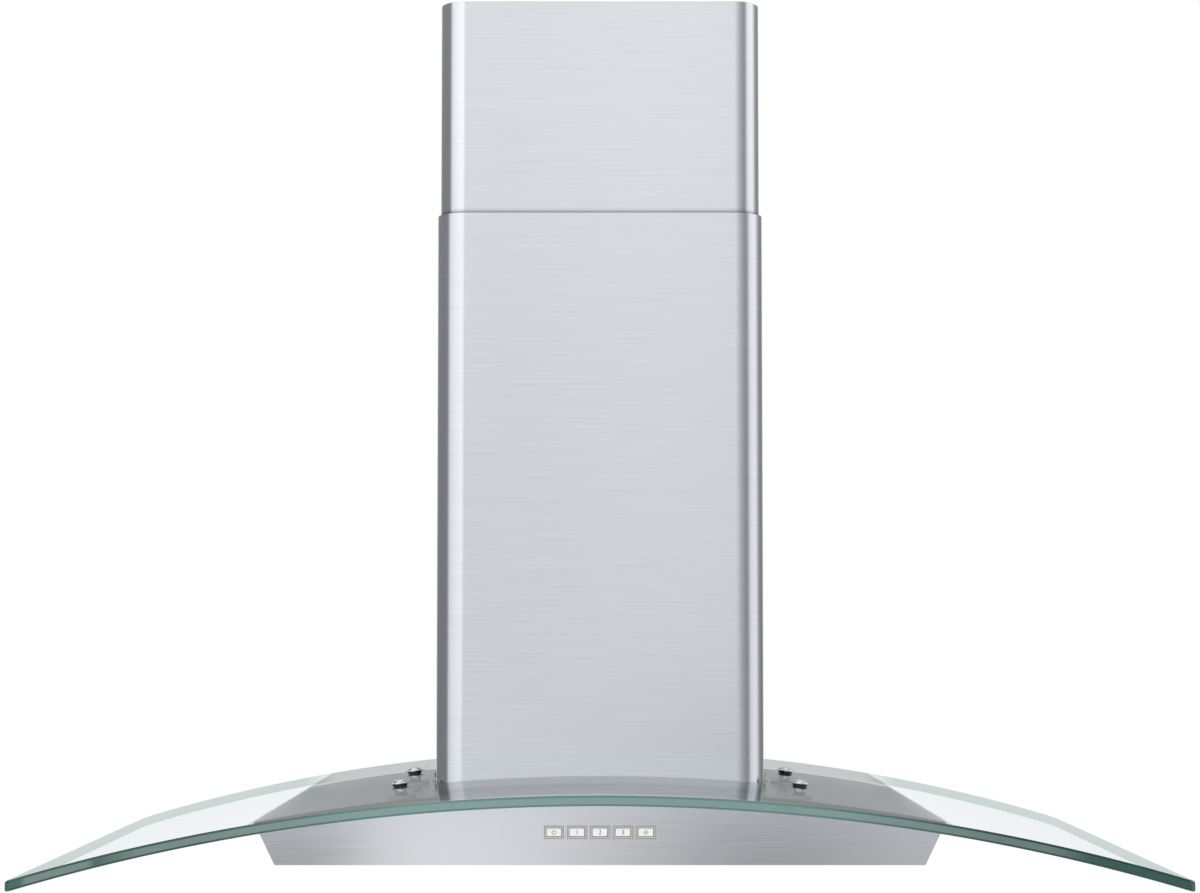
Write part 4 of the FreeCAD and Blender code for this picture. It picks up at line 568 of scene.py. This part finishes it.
def make_finishes():
    """Every finish by the record's slot name."""
    colours = settings()[1]
    return {
        "brushed_stainless": brushed_sheet("stainless_brushed", UPRIGHT_GRAIN, 0.17, 0.2),
        "galvanised_sheet": galvanised_sheet(),
        "clear_glass": clear_glass(),
        # Plating over polished steel: a clean mirror with a trace of haze, clouds 3 mm across.
        "polished_chrome": plain_metal("chrome_polished", colours.chrome, 0.04, 0.09, 300.0),
        # Zinc plate: bright, slightly cloudy, clouds 2 mm across.
        "zinc_screw": plain_metal("zinc_plate_bright", colours.screw_zinc, 0.22, 0.4, 500.0),
        # Drawn wire and turned shafts: satin, with fine marks, 1.4 mm here so that they show.
        "bright_steel": plain_metal("steel_drawn", colours.bright_steel, 0.18, 0.32, 700.0),
        # Rolled aluminium: pale and satin, with a haze in clouds of 2 mm.
        "aluminium_filter": plain_metal("aluminium_satin", colours.aluminium, 0.3, 0.45, 450.0),
        # Polypropylene from a spark-eroded tool, grit about 0.4 mm: matt black with a soft sheen.
        "black_moulding": moulding("polypropylene_black", colours.black, 0.45, 2500.0, 0.0001),
        # ABS from a fine tool, grit 0.5 mm: an even, matt white.
        "white_moulding": moulding("abs_white_matt", colours.white, 0.4, 2000.0, 0.00008),
        # Nylon cut from bar, saw marks 0.8 mm apart: cream and waxy.
        "nylon_pad": moulding("nylon_cut", colours.nylon, 0.5, 1200.0, 0.0001),
        # Soft PVC, flow marks 1.1 mm apart: a dull grey with a wet gloss.
        "soft_grommet": moulding("pvc_soft_clear", colours.grommet, 0.35, 900.0, 0.00005),
        # Keys are polished acrylic, flow marks 1.1 mm apart: an even white with a faint gloss.
        "white_button": moulding("acrylic_white_polished", colours.key, 0.25, 900.0, 0.00002),
        # ABS, grit 0.4 mm: warm grey with a soft sheen.
        "grey_frame": moulding("abs_warm_grey", colours.bezel, 0.45, 2500.0, 0.00005),
        # Cast polyester, grit 0.7 mm: pale, with a dull gloss.
        "capacitor_can": moulding("polyester_can_pale", colours.can, 0.4, 1500.0, 0.00006),
        "circuit_board": circuit_board(),
        "frosted_lens": frosted_lens(),
    }


FINISHES = {}


# Pieces

def cover_piece(node, corner, flange, trim):
    """Chimney cover: sheet bent round two front corners, open at the wall, top and foot."""
    sizes = settings()[0]
    low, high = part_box(node)
    high.z -= trim
    piece = add_block(node + "_sheet", low, high)
    edit(piece)
    choose(piece, "EDGE", lambda c, d: c.y < low.y + TINY and abs(d.z) > MOSTLY)
    round_edges(corner, steps=18)
    # Lines just beside the bends keep the flat faces flat when the bends are smoothed.
    hold = corner + sizes.cover_hold
    for side in SIDES:
        slice_at((side * (high.x - hold), 0, 0), (1, 0, 0))
    slice_at((0, low.y + hold, 0), (0, 1, 0))
    choose(piece, "FACE", lambda c, n: abs(n.z) > MOSTLY or n.y > MOSTLY)
    bpy.ops.mesh.delete(type="FACE")
    if flange:
        for side in SIDES:
            choose(piece, "EDGE", lambda c, d: side * c.x > 0 and c.y > high.y - TINY
                   and abs(d.z) > MOSTLY)
            push(x=-side * flange)
    clear()
    modify(piece, "SOLIDIFY", thickness=sizes.cover_sheet, offset=-1.0, use_even_offset=True)
    ease(piece, sizes.eased)
    return piece


class HOOD_OT_chimney_covers(bpy.types.Operator):
    """Bend the two telescopic chimney covers"""
    bl_idname = "hood.chimney_covers"
    bl_label = "Chimney covers"

    def execute(self, context):
        sizes = settings()[0]
        rough = (0.178, 0.192)
        # The upper cover has painted shade beside the lower cover's lip.
        finish = [brushed_sheet("stainless_brushed_upper_painted_shade", UPRIGHT_GRAIN, *rough,
                                sizes.cover_shade_reach)]
        upper = cover_piece("upper_chimney_cover", sizes.cover_corner - sizes.cover_step, 0.0,
                            sizes.cover_trim)
        dress(upper, "upper_chimney", finish, ["upper_chimney_cover"],
              angle=20.0)
        # The lower cover has painted shade along its foot, beside the plate's top.
        finish = [brushed_sheet("stainless_brushed_lower_painted_shade", UPRIGHT_GRAIN, *rough,
                                gap=sizes.glass_shade_band)]
        lower = cover_piece("lower_chimney_cover", sizes.cover_corner, sizes.cover_flange, 0.0)
        # Its foot follows the arched plate and just clears it.
        axis_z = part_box("canopy_shell")[1].z - sizes.plate_radius
        cut(lower, add_round("arch_tool", sizes.plate_radius + 5 * TINY, 2.0, (0, 0, axis_z),
                             LYING, steps=720))
        dress(lower, "hood", finish, ["lower_chimney_cover"], angle=20.0)
        return {"FINISHED"}


class HOOD_OT_glass_canopy(bpy.types.Operator):
    """Cut the arched glass to its outline and grind its edges"""
    bl_idname = "hood.glass_canopy"
    bl_label = "Glass canopy"

    def execute(self, context):
        sizes, colours, _ = settings()
        low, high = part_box("glass_canopy")
        axis_z = high.z - sizes.glass_radius
        spare = Vector((0, 0, 0.01))
        piece = add_block("glass_sheet", low - spare, high + spare)
        edit(piece)
        choose(piece, "EDGE", lambda c, d: c.y > high.y - TINY and abs(d.z) > MOSTLY)
        round_edges(sizes.rear_corner, steps=12)
        bow_radius = (high.x ** 2 + sizes.glass_bow ** 2) / (2 * sizes.glass_bow)
        bow = add_round("bow_tool", bow_radius, 1.0, (0, low.y + bow_radius, 0), steps=1024)
        cut(piece, bow, "INTERSECT")
        edit(piece)
        choose(piece, "EDGE", lambda c, d: abs(c.x) > high.x - TINY and c.y < low.y / 2
               and abs(d.z) > MOSTLY)
        round_edges(sizes.front_corner, steps=8)
        under = sizes.glass_radius - sizes.glass_thick
        for radius, operation in ((sizes.glass_radius, "INTERSECT"), (under, "DIFFERENCE")):
            cut(piece, add_round("arch_tool", radius, 2.0, (0, 0, axis_z), LYING, steps=720),
                operation)
        chimney, gap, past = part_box("lower_chimney_cover"), sizes.notch_gap, 0.1
        notch = add_block("notch_tool", (chimney[0].x - gap, chimney[0].y - gap, low.z - past),
                          (chimney[1].x + gap, past, high.z + past))
        edit(notch)
        choose(notch, "EDGE", lambda c, d: c.y < chimney[0].y and abs(d.z) > MOSTLY)
        round_edges(sizes.cover_corner + gap, steps=16)
        cut(piece, notch)
        for place, lean in screw_places(0.0):
            cut(piece, add_round("hole_tool", sizes.hole_radius, past, place, (0, lean, 0),
                                 steps=48))
        edit(piece)
        bpy.ops.mesh.remove_doubles(threshold=sizes.sliver)
        clear()
        ease(piece, sizes.arris, use_clamp_overlap=False)
        # Painted shade and reflection: the green is painted deeper towards the tips, and a paler
        # stretch near the left one is a painted reflection.
        near, mid, deep = colours.glass_edge, colours.glass_edge_half_shade, colours.glass_edge_tip_shade
        pale, side, seam = colours.glass_far, colours.glass_side, colours.glass_seam
        tones = [(-0.45, deep), (-0.437, deep), (-0.432, mid), (-0.384, mid), (-0.381, deep),
                 (-0.345, mid), (-0.3, mid), (-0.18, near), (0.18, near), (0.3, mid), (0.34, mid),
                 (0.37, deep), (0.45, deep)]
        edge = glass_edge("tempered_glass_ground_edge", tones, pale, rough=0.16)
        # The arris is painted darker towards the tips: painted shade.
        line, soft = colours.glass_arris_tip_shade, colours.glass_arris
        lines = [(-0.45, line), (-0.3, line), (-0.15, soft), (0.15, soft), (0.3, line),
                 (0.45, line)]
        arris = glass_edge("tempered_glass_arris", lines, pale, rough=0.12)
        # The edge round the chimney is only seamed, so it lets less light through.
        seamed = glass_edge("tempered_glass_seamed_edge", [(-0.2, mid), (0.2, near)], seam,
                            rough=0.4, opaque=0.35)
        # Light comes in through the rear edge, and less through its ends and the side edges. Their
        # faces are painted darker towards the tips: painted shade.
        fall = [(-0.292, side), (-0.262, pale), (0.262, pale), (0.292, side)]
        ends = glass_edge("tempered_glass_side_edge", [(-0.45, deep), (0, mid), (0.45, deep)],
                          pale, rough=0.16, ends=fall)
        dress(piece, "hood", [FINISHES["clear_glass"], edge, arris, seamed, ends],
              ["glass_canopy"], angle=12.0)
        # A face is polished or ground by how far it points out of the arch.
        polished, ground = 0.97, 0.3
        # The notch and the holes lie within these.
        cut_side, cut_front = sizes.screw_side + 2 * sizes.hole_radius, (low.y + chimney[0].y) / 2
        for face in piece.data.polygons:
            outward = Vector((face.center.x, 0, face.center.z - axis_z)).normalized()
            level = abs(face.normal.dot(outward))
            rear = face.center.y > high.y - sizes.rear_corner
            if level > polished:
                face.material_index = 0
            elif abs(face.center.x) < cut_side and face.center.y > cut_front and not rear:
                face.material_index = 3
            elif face.normal.y > -ground:
                face.material_index = 4
            else:
                face.material_index = 1 if level < ground else 2
        return {"FINISHED"}


def screw_places(lift):
    """Place and lean of each glass screw, at a height over the top of the glass."""
    sizes = settings()[0]
    axis_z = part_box("canopy_shell")[1].z - sizes.plate_radius
    places = []
    for side in SIDES:
        lean = side * math.asin(sizes.screw_side / sizes.plate_radius)
        reach = sizes.glass_radius + lift
        for out in (sizes.screw_rear, sizes.screw_front):
            places.append((Vector((reach * math.sin(lean), -out, axis_z + reach * math.cos(lean))),
                           lean))
    return places


class HOOD_OT_glass_screws(bpy.types.Operator):
    """Turn the brimmed dome screws that hold the glass"""
    bl_idname = "hood.glass_screws"
    bl_label = "Glass screws"

    def execute(self, context):
        sizes, colours, _ = settings()
        foot = Vector((0, 0, 0))
        crown, brim = sizes.screw_crown, sizes.screw_brim
        neck, shank = sizes.screw_neck, sizes.screw_shank
        lift = sizes.screw_lift
        dome_foot = lift + sizes.screw_edge + sizes.screw_droop
        clear()
        bpy.ops.mesh.primitive_uv_sphere_add(segments=64, ring_count=32, radius=crown)
        model = settle("glass_screw_model")
        edit(model)
        slice_at((0, 0, 0), (0, 0, 1), clear_inner=True)
        bpy.ops.mesh.select_all(action="SELECT")
        widen((1, 1, sizes.screw_dome / crown), foot)
        bpy.ops.transform.translate(value=(0, 0, dome_foot))
        choose(model, "EDGE", lambda c, d: c.z < dome_foot + TINY and abs(d.z) < 1 - MOSTLY)
        # The brim droops a little, then the washer and the shank follow.
        push(z=-sizes.screw_droop)
        widen((brim / crown, brim / crown, 1), foot)
        push(z=-sizes.screw_edge)
        push()
        widen((neck / brim, neck / brim, 1), foot)
        push(z=-lift)
        push()
        widen((shank / neck, shank / neck, 1), foot)
        push(z=lift - sizes.screw_length)
        bpy.ops.mesh.edge_face_add()
        bpy.ops.mesh.select_all(action="SELECT")
        bpy.ops.mesh.normals_make_consistent(inside=False)
        clear()
        ease(model, sizes.eased)
        for face in model.data.polygons:
            side = math.hypot(face.center.x, face.center.y)
            face.material_index = 1 if face.center.z < lift + TINY and side > shank + TINY else 0
        # Vulcanised rubber, grit 0.7 mm: near black, with a dull sheen.
        rubber = moulding("rubber_black_moulded", colours.black, 0.4, 1500.0, 0.00005)
        for number, (place, lean) in enumerate(screw_places(TINY), start=1):
            one = copy_at(model, f"glass_screw_{number}", place, (0, lean, 0))
            dress(one, "hood", [FINISHES["polished_chrome"], rubber],
                  ["glass_screws", "glass_washers"])
        bpy.data.objects.remove(model)
        return {"FINISHED"}


def key_piece(number):
    """Push button: cap with soft edges and a dished face, flange and stem behind it."""
    sizes = settings()[0]
    node = f"button_{number}"
    low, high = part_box(node)
    rim, depth, back, stem = sizes.key_flange, sizes.key_depth, sizes.key_back, sizes.key_stem
    middle = (low + high) / 2
    piece = add_block(f"key_cap_{number}", (low.x + rim, low.y, low.z + rim),
                      (high.x - rim, low.y + depth, high.z - rim))
    edit(piece)
    choose(piece, "FACE", lambda c, n: n.y < -MOSTLY)
    bpy.ops.mesh.inset(thickness=sizes.key_rim, depth=-sizes.key_dish)
    choose(piece, "EDGE", lambda c, d: c.y < low.y + TINY
           and (abs(c.x - middle.x) > high.x - middle.x - rim - TINY
                or abs(c.z - middle.z) > high.z - middle.z - rim - TINY))
    round_edges(sizes.key_edge, steps=4)
    choose(piece, "FACE", lambda c, n: n.y > MOSTLY and c.y > low.y + depth - TINY)
    wide, tall = high.x - low.x, high.z - low.z
    centre = (middle.x, low.y + depth, middle.z)
    push()
    widen((wide / (wide - 2 * rim), 1, tall / (tall - 2 * rim)), centre)
    push(y=back)
    push()
    widen((stem / wide, 1, stem / tall), centre)
    push(y=high.y - low.y - depth - back)
    dress(piece, f"key_{number}", [FINISHES["white_button"]], [node])
    return Vector((middle.x, low.y + sizes.key_dish, middle.z))


def mark_piece(number, place):
    """Printed mark of a key: power sign, the speeds 1 to 3, lamp sign."""
    sizes = settings()[0]
    tall = sizes.key_mark
    clear()
    if 1 < number < 5:
        bpy.ops.object.text_add()
        text = bpy.context.active_object
        text.data.body = str(number - 1)
        # Digits are 0.7 of the text's size tall, so these are a little lower than the signs.
        text.data.size = tall * 1.25
        text.data.align_x = "CENTER"
        text.data.align_y = "CENTER"
        bpy.ops.object.convert(target="MESH")
    else:
        # Both signs are a ring with rays. Shares of the height give the stroke, the gap at the
        # top, the ring's radius, and the length and middle of a ray.
        stroke, gap = 0.11 * tall, 0.17 * tall
        ring, ray, reach, rays = (0.42, 0.42, 0.28, 1) if number == 1 else (0.24, 0.14, 0.42, 8)
        bpy.ops.mesh.primitive_circle_add(vertices=48, radius=tall * ring, fill_type="NGON")
        sign = bpy.context.active_object
        edit(sign)
        bpy.ops.mesh.inset(thickness=stroke)
        bpy.ops.mesh.delete(type="FACE")
        if number == 1:
            choose(sign, "FACE", lambda c, n: c.y > 0 and abs(c.x) < gap)
            bpy.ops.mesh.delete(type="FACE")
        for turn in range(rays):
            bpy.ops.mesh.primitive_plane_add(size=1.0)
            widen((stroke, tall * ray, 1), (0, 0, 0))
            bpy.ops.transform.translate(value=(0, tall * reach, 0))
            bpy.ops.transform.rotate(value=turn * math.tau / rays, orient_axis="Z",
                                     center_override=(0, 0, 0))
        single(sign)
    mark = bpy.context.active_object
    mark.location = place - Vector((0, sizes.key_print, 0))
    mark.rotation_euler = LYING
    return settle(f"key_mark_{number}")


class HOOD_OT_push_buttons(bpy.types.Operator):
    """Mould the five push buttons and print their marks"""
    bl_idname = "hood.push_buttons"
    bl_label = "Push buttons"

    def execute(self, context):
        # Pad print: thin matt ink with slightly uneven cover, specks 0.3 mm across.
        ink = moulding("pad_print_grey", settings()[1].key_ink, 0.6, 3000.0, 0.00001)
        for number in KEYS:
            place = key_piece(number)
            mark = mark_piece(number, place)
            dress(mark, f"key_{number}", [ink])
        return {"FINISHED"}


class HOOD_OT_button_bezels(bpy.types.Operator):
    """Trim the frames round the push buttons"""
    bl_idname = "hood.button_bezels"
    bl_label = "Button bezels"

    def execute(self, context):
        sizes, colours, _ = settings()
        line = sizes.bezel_shade_width
        half = Vector((sizes.bezel_wide / 2, 0, sizes.bezel_tall / 2))
        low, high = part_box("button_1")
        gap = sizes.key_flange - sizes.bezel_clear
        hole = Vector(((high.x - low.x) / 2 - gap, 0, (high.z - low.z) / 2 - gap))
        front, back = Vector((0, -sizes.bezel_proud, 0)), Vector((0, sizes.bezel_sunk, 0))
        model = add_block("bezel_model", front - half, back + half)
        edit(model)
        choose(model, "FACE", lambda c, n: n.y < -MOSTLY)
        bpy.ops.mesh.inset(thickness=line)
        bpy.ops.mesh.inset(thickness=half.x - hole.x - 2 * line)
        deep = Vector((0, 0.01, 0))
        cut(model, add_block("hole_tool", -deep - hole, deep + hole))
        # The lines and the sides take the painted shade; the face between them is the bezel's own
        # grey.
        for face in model.data.polygons:
            inset = min(half.x - abs(face.center.x), half.z - abs(face.center.z))
            pale = line < inset < half.x - hole.x - line and face.normal.y < -MOSTLY
            face.material_index = 0 if pale else 1
        # Painted shade: the same ABS, darker, as a fine line for the shade of each step.
        edge = moulding("abs_warm_grey_painted_shade", colours.bezel_painted_shade, 0.5, 2500.0, 0.00005)
        face_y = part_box("button_frame")[0].y
        for number in KEYS:
            low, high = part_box(f"button_{number}")
            middle = (low + high) / 2
            one = copy_at(model, f"button_bezel_{number}", (middle.x, face_y, middle.z))
            dress(one, "hood", [FINISHES["grey_frame"], edge])
        bpy.data.objects.remove(model)
        return {"FINISHED"}


class HOOD_OT_grease_filters(bpy.types.Operator):
    """Stretch the expanded aluminium mesh of the two grease filters"""
    bl_idname = "hood.grease_filters"
    bl_label = "Grease filters"

    def execute(self, context):
        sizes = settings()[0]
        margin = sizes.mesh_margin
        for side in ("left", "right"):
            node = f"{side}_filter_mesh"
            low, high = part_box(node)
            span = high - low
            # The diamonds are 1.8 times as long as they are wide.
            across = round(span.x / (1.8 * sizes.mesh_cell))
            along = round(span.y / sizes.mesh_cell)
            parts = []
            for layer, height in enumerate((0.25, 0.75)):
                clear()
                bpy.ops.mesh.primitive_grid_add(x_subdivisions=across, y_subdivisions=along,
                                                size=1.0)
                grid = bpy.context.active_object
                grid.scale = (span.x - 2 * margin, span.y - 2 * margin, 1.0)
                grid.location = ((low.x + high.x) / 2, (low.y + high.y) / 2,
                                 low.z + height * span.z)
                settle(f"{node}_layer_{layer}")
                edit(grid)
                bpy.ops.mesh.poke()
                # Without the grid's own lines inside its border, the diagonals form the diamonds.
                choose(grid, "EDGE", lambda c, d: max(abs(d.x), abs(d.y)) > 0.999
                       and low.x + 2 * margin < c.x < high.x - 2 * margin
                       and low.y + 2 * margin < c.y < high.y - 2 * margin)
                bpy.ops.mesh.dissolve_edges(use_verts=False)
                modify(grid, "WIREFRAME", thickness=sizes.mesh_strand, use_even_offset=False)
                parts.append(grid)
            rear = high.z - sizes.mesh_backing
            parts.append(add_block(f"{node}_backing", (low.x + margin, low.y + margin, rear),
                                   (high.x - margin, high.y - margin, high.z)))
            for part in parts:
                dress(part, f"{side}_filter", [FINISHES["aluminium_filter"]],
                      [node])
        return {"FINISHED"}


class HOOD_OT_cad_finishes(bpy.types.Operator):
    """Give every CAD piece the finish of its material slot"""
    bl_idname = "hood.cad_finishes"
    bl_label = "Finishes"

    def execute(self, context):
        FINISHES.update(make_finishes())
        # Flat pieces of the body are brushed along X, so their grain runs fine in Y too.
        level = brushed_sheet("stainless_brushed_level", LEVEL_GRAIN, 0.19, 0.23)
        # The front is polished before brushing, so it mirrors more clearly. Along its top, under
        # the glass, shade is painted into its colour.
        front = brushed_sheet("stainless_brushed_front_painted_shade", UPRIGHT_GRAIN, 0.11, 0.14,
                              gap=settings()[0].glass_shade_band)
        own = {"bottom_pan": level, "canopy_shell": level, "front_panel": front}
        for row in frame["record"]["subparts"]:
            node = frame["nodes"][row["node"]]
            finish = own.get(row["node"], FINISHES[row["material_slot"]])
            if not node.material_slots:
                node.data.materials.append(finish)
            for slot in node.material_slots:
                slot.link = "OBJECT"
                slot.material = finish
        return {"FINISHED"}


def studio_world():
    """White backdrop all round, and a softer fill for matt surfaces."""
    world = bpy.data.worlds.new("studio")
    bpy.context.scene.world = world
    world.use_nodes = True
    tree = world.node_tree
    tree.nodes.clear()
    fill = add(tree, "Background", {"Color": settings()[1].fill, "Strength": 0.75})
    white = add(tree, "Background", {"Color": linear("ffffff"), "Strength": 1.0})
    path = add(tree, "LightPath")
    mirrored = add(tree, "Math", {0: path.outputs["Is Glossy Ray"],
                                  1: path.outputs["Is Transmission Ray"]}, operation="MAXIMUM")
    seen = add(tree, "Math", {0: path.outputs["Is Camera Ray"], 1: mirrored}, operation="MAXIMUM")
    final = add(tree, "MixShader", {0: seen, 1: fill, 2: white})
    add(tree, "OutputWorld", {"Surface": final})


# Levels of the light tent by degrees from behind the camera, positive to its right.
TENT = [(-180, 0.9), (-154, 0.9), (-147, 0.27), (-76, 0.27), (-70.5, 0.36), (-62.5, 1.0),
        (-50, 1.14), (-28, 1.27), (-10, 1.34), (-7, 0.9), (-4, 0.91), (0, 1.0), (5, 1.01),
        (8, 0.92), (18, 0.66), (28, 0.51), (39, 0.38), (50, 0.36), (60, 0.98), (72, 1.12),
        (87, 1.18), (97, 0.92), (107, 0.44), (122, 0.3), (147, 0.3), (154, 0.9), (180, 0.9)]
# The same at the foot of the tent, which only the body's low front mirrors.
TENT_FOOT = [(-15, 0.44), (-9.3, 0.44), (-7.6, 1.1), (-6.0, 1.24), (-2.5, 1.12), (0, 0.86),
             (2.2, 0.7), (3.6, 0.54), (5.2, 0.45), (7, 0.47), (11, 0.72), (15, 0.82)]
# Share of these levels at heights over the body's underside.
TENT_RISE = [(-1.6, 0.88), (-0.33, 0.95), (0.08, 0.98), (0.63, 1.01), (1.36, 1.07), (2.26, 1.18),
             (3.0, 1.16), (5.0, 0.82), (8.0, 0.65)]
# Where the foot begins and is full: Y on the tent's round, and Z.
FOOT_Y = (-5.8, -5.85)
FOOT_Z = (-0.38, -0.5)
# The cloth is slightly cool.
TENT_TINT = (0.99, 1.0, 1.012)


def light_tent():
    """Cloth of the light tent."""
    # It glows by direction, and most at the height that the chimney's top mirrors.
    material, tree, place = begin("tent_cloth_glowing")
    # Turned so that 0.5 on the ramp is straight behind the camera and its right is above 0.5.
    turned = add(tree, "Mapping", {"Vector": place, "Rotation": (0, 0, math.pi / 2)})
    around = add(tree, "TexGradient", {"Vector": turned}, gradient_type="RADIAL")
    spot = add(tree, "SeparateXYZ", {"Vector": place})
    glows = []
    # Degrees become shares of a turn; heights stay as they are.
    for source, middle, unit, levels in ((around.outputs["Fac"], 0.5, 360, TENT),
                                         (around.outputs["Fac"], 0.5, 360, TENT_FOOT),
                                         (spot.outputs["Z"], 0.0, 1, TENT_RISE)):
        low, high = levels[0][0], levels[-1][0]
        part = add(tree, "MapRange", {"Value": source, "From Min": middle + low / unit,
                                      "From Max": middle + high / unit})
        stops = [((at - low) / (high - low), [level * tint for tint in TENT_TINT])
                 for at, level in levels]
        glows.append(add(tree, "ValToRGB", {"Fac": part}, stops))
    # Only the stretch behind the camera has a foot of its own.
    near = add(tree, "MapRange", {"Value": spot.outputs["Y"], "From Min": FOOT_Y[1],
                                  "From Max": FOOT_Y[0], "To Min": 1.0, "To Max": 0.0})
    foot = add(tree, "MapRange", {"Value": spot.outputs["Z"], "From Min": FOOT_Z[1],
                                  "From Max": FOOT_Z[0], "To Min": near, "To Max": 0.0})
    both = add(tree, "Mix", {0: foot, 6: glows[0], 7: glows[1]}, data_type="RGBA")
    glow = add(tree, "Emission", {"Color": both, "Strength": glows[2]})
    add(tree, "OutputMaterial", {"Surface": glow})
    return material


def flag_cloth():
    """Cloth of the flag behind the hood."""
    # Grey cotton: even, with faint clouds about 25 mm across.
    material, tree, place = begin("flag_cloth_grey")
    weave = add(tree, "TexNoise", {"Vector": place, "Scale": 40.0})
    level = add(tree, "MapRange", {"Value": weave, "To Min": 0.39, "To Max": 0.4})
    glow = add(tree, "Emission", {"Color": settings()[1].flag, "Strength": level})
    add(tree, "OutputMaterial", {"Surface": glow})
    return material


def only_mirrored(thing, finish):
    """Let a thing of the stage show in polished surfaces alone."""
    thing.data.materials.append(finish)
    for kind in ("camera", "diffuse", "transmission", "shadow"):
        setattr(thing, f"visible_{kind}", False)


def studio_floor():
    """Painted studio floor far below the hood; from below it lets the view through."""
    # Matt paint: pale grey, with faint clouds about 17 mm across.
    material, tree, place = begin("floor_painted_pale")
    _, colours, stage = settings()
    face = colours.floor
    speck = add(tree, "TexNoise", {"Vector": place, "Scale": 60.0, "Detail": 3.0})
    tone = add(tree, "ValToRGB", {"Fac": speck}, [(0.3, [0.97 * c for c in face]), (0.7, face)])
    paint = add(tree, "BsdfDiffuse", {"Color": tone})
    none = add(tree, "BsdfTransparent")
    # Far from the hood it fades into the white backdrop for the camera.
    away = add(tree, "VectorMath", {0: place, 1: (0, stage.middle[1], -stage.floor_drop)},
               operation="DISTANCE")
    far = add(tree, "MapRange", {"Value": away, "From Min": stage.fade_start,
                                 "From Max": stage.fade_end}, interpolation_type="SMOOTHSTEP")
    path = add(tree, "LightPath")
    fade = add(tree, "Math", {0: far, 1: path.outputs["Is Camera Ray"]}, operation="MULTIPLY")
    side = add(tree, "NewGeometry")
    open_side = add(tree, "Math", {0: side.outputs["Backfacing"], 1: fade}, operation="MAXIMUM")
    mixed = add(tree, "MixShader", {0: open_side, 1: paint, 2: none})
    add(tree, "OutputMaterial", {"Surface": mixed})
    return material


class HOOD_OT_stage(bpy.types.Operator):
    """Set up floor, light tent, flag, soft box and camera"""
    bl_idname = "hood.stage"
    bl_label = "Stage"

    def execute(self, context):
        stage = settings()[2]
        scene = context.scene
        scene.view_settings.view_transform = "Standard"
        clear()
        bpy.ops.mesh.primitive_plane_add(size=stage.floor_side,
                                         location=(0, stage.middle[1], -stage.floor_drop))
        floor = settle("studio_floor")
        floor.data.materials.append(studio_floor())
        studio_world()
        clear()
        low, high = TENT_RISE[0][0], TENT_RISE[-1][0]
        middle = (0, 0, (low + high) / 2)
        bpy.ops.mesh.primitive_cylinder_add(vertices=180, radius=stage.tent_radius,
                                            depth=high - low, end_fill_type="NOTHING",
                                            location=middle)
        only_mirrored(settle("light_tent"), light_tent())
        # The glass mirrors this flag over the plate, so its sides lean as the plate's ends do.
        # It starts as a block 1 m wide, whose foot and top are then widened.
        back, low, high = stage.flag_back, stage.flag_low, stage.flag_high
        flag = add_block("grey_flag", (-0.5, back, low), (0.5, back + 0.01, high))
        edit(flag)
        for end in (low, high):
            choose(flag, "VERT", lambda c, d: abs(c.z - end) < TINY)
            wide = 2 * (stage.flag_half + stage.flag_lean * (end - low))
            widen((wide, 1, 1), (0, back, end))
        clear()
        only_mirrored(flag, flag_cloth())
        bpy.ops.object.light_add(type="AREA", location=stage.box_place)
        key = context.active_object
        key.name = "soft_box"
        key.data.shape = "SQUARE"
        key.data.size = stage.box_side
        key.data.energy = stage.box_power
        # The tent and the flag are what polished surfaces mirror.
        key.visible_glossy = False
        aim = Vector(stage.middle) - key.location
        key.rotation_euler = aim.to_track_quat("-Z", "Y").to_euler()
        bpy.ops.object.camera_add(location=(0, -stage.distance, stage.height),
                                  rotation=(math.pi / 2 + stage.tilt, 0, 0))
        camera = context.active_object
        camera.name = "photo_camera"
        camera.data.sensor_width = 36.0
        camera.data.lens = stage.lens
        camera.data.shift_y = stage.rise
        camera.data.clip_start = 0.05
        scene.camera = camera
        return {"FINISHED"}


class HOOD_PT_panel(bpy.types.Panel):
    """Lists the steps that dress the hood"""
    bl_idname = "HOOD_PT_panel"
    bl_label = "Range hood"
    bl_space_type = "VIEW_3D"
    bl_region_type = "UI"
    bl_category = "Range hood"

    def draw(self, context):
        for step in STEPS:
            self.layout.operator(step.bl_idname)


STEPS = (HOOD_OT_cad_finishes, HOOD_OT_chimney_covers, HOOD_OT_glass_canopy, HOOD_OT_glass_screws,
         HOOD_OT_button_bezels, HOOD_OT_push_buttons, HOOD_OT_grease_filters, HOOD_OT_stage)
GROUPS = {"hood_sizes": HoodSizes, "hood_colours": HoodColours, "hood_stage": HoodStage}
CLASSES = (*GROUPS.values(), *STEPS, HOOD_PT_panel)


def register():
    """Register the classes and hang the settings on the scene."""
    for kind in CLASSES:
        bpy.utils.register_class(kind)
    for name, kind in GROUPS.items():
        setattr(bpy.types.Scene, name, PointerProperty(type=kind))


def unregister():
    """Take the settings off the scene and unregister the classes."""
    for name in GROUPS:
        delattr(bpy.types.Scene, name)
    for kind in reversed(CLASSES):
        bpy.utils.unregister_class(kind)


def main():
    """Dress the hood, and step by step."""
    register()
    for step in STEPS:
        group, name = step.bl_idname.split(".")
        getattr(getattr(bpy.ops, group), name)()
    clear()


if __name__ == "__main__":
    main()
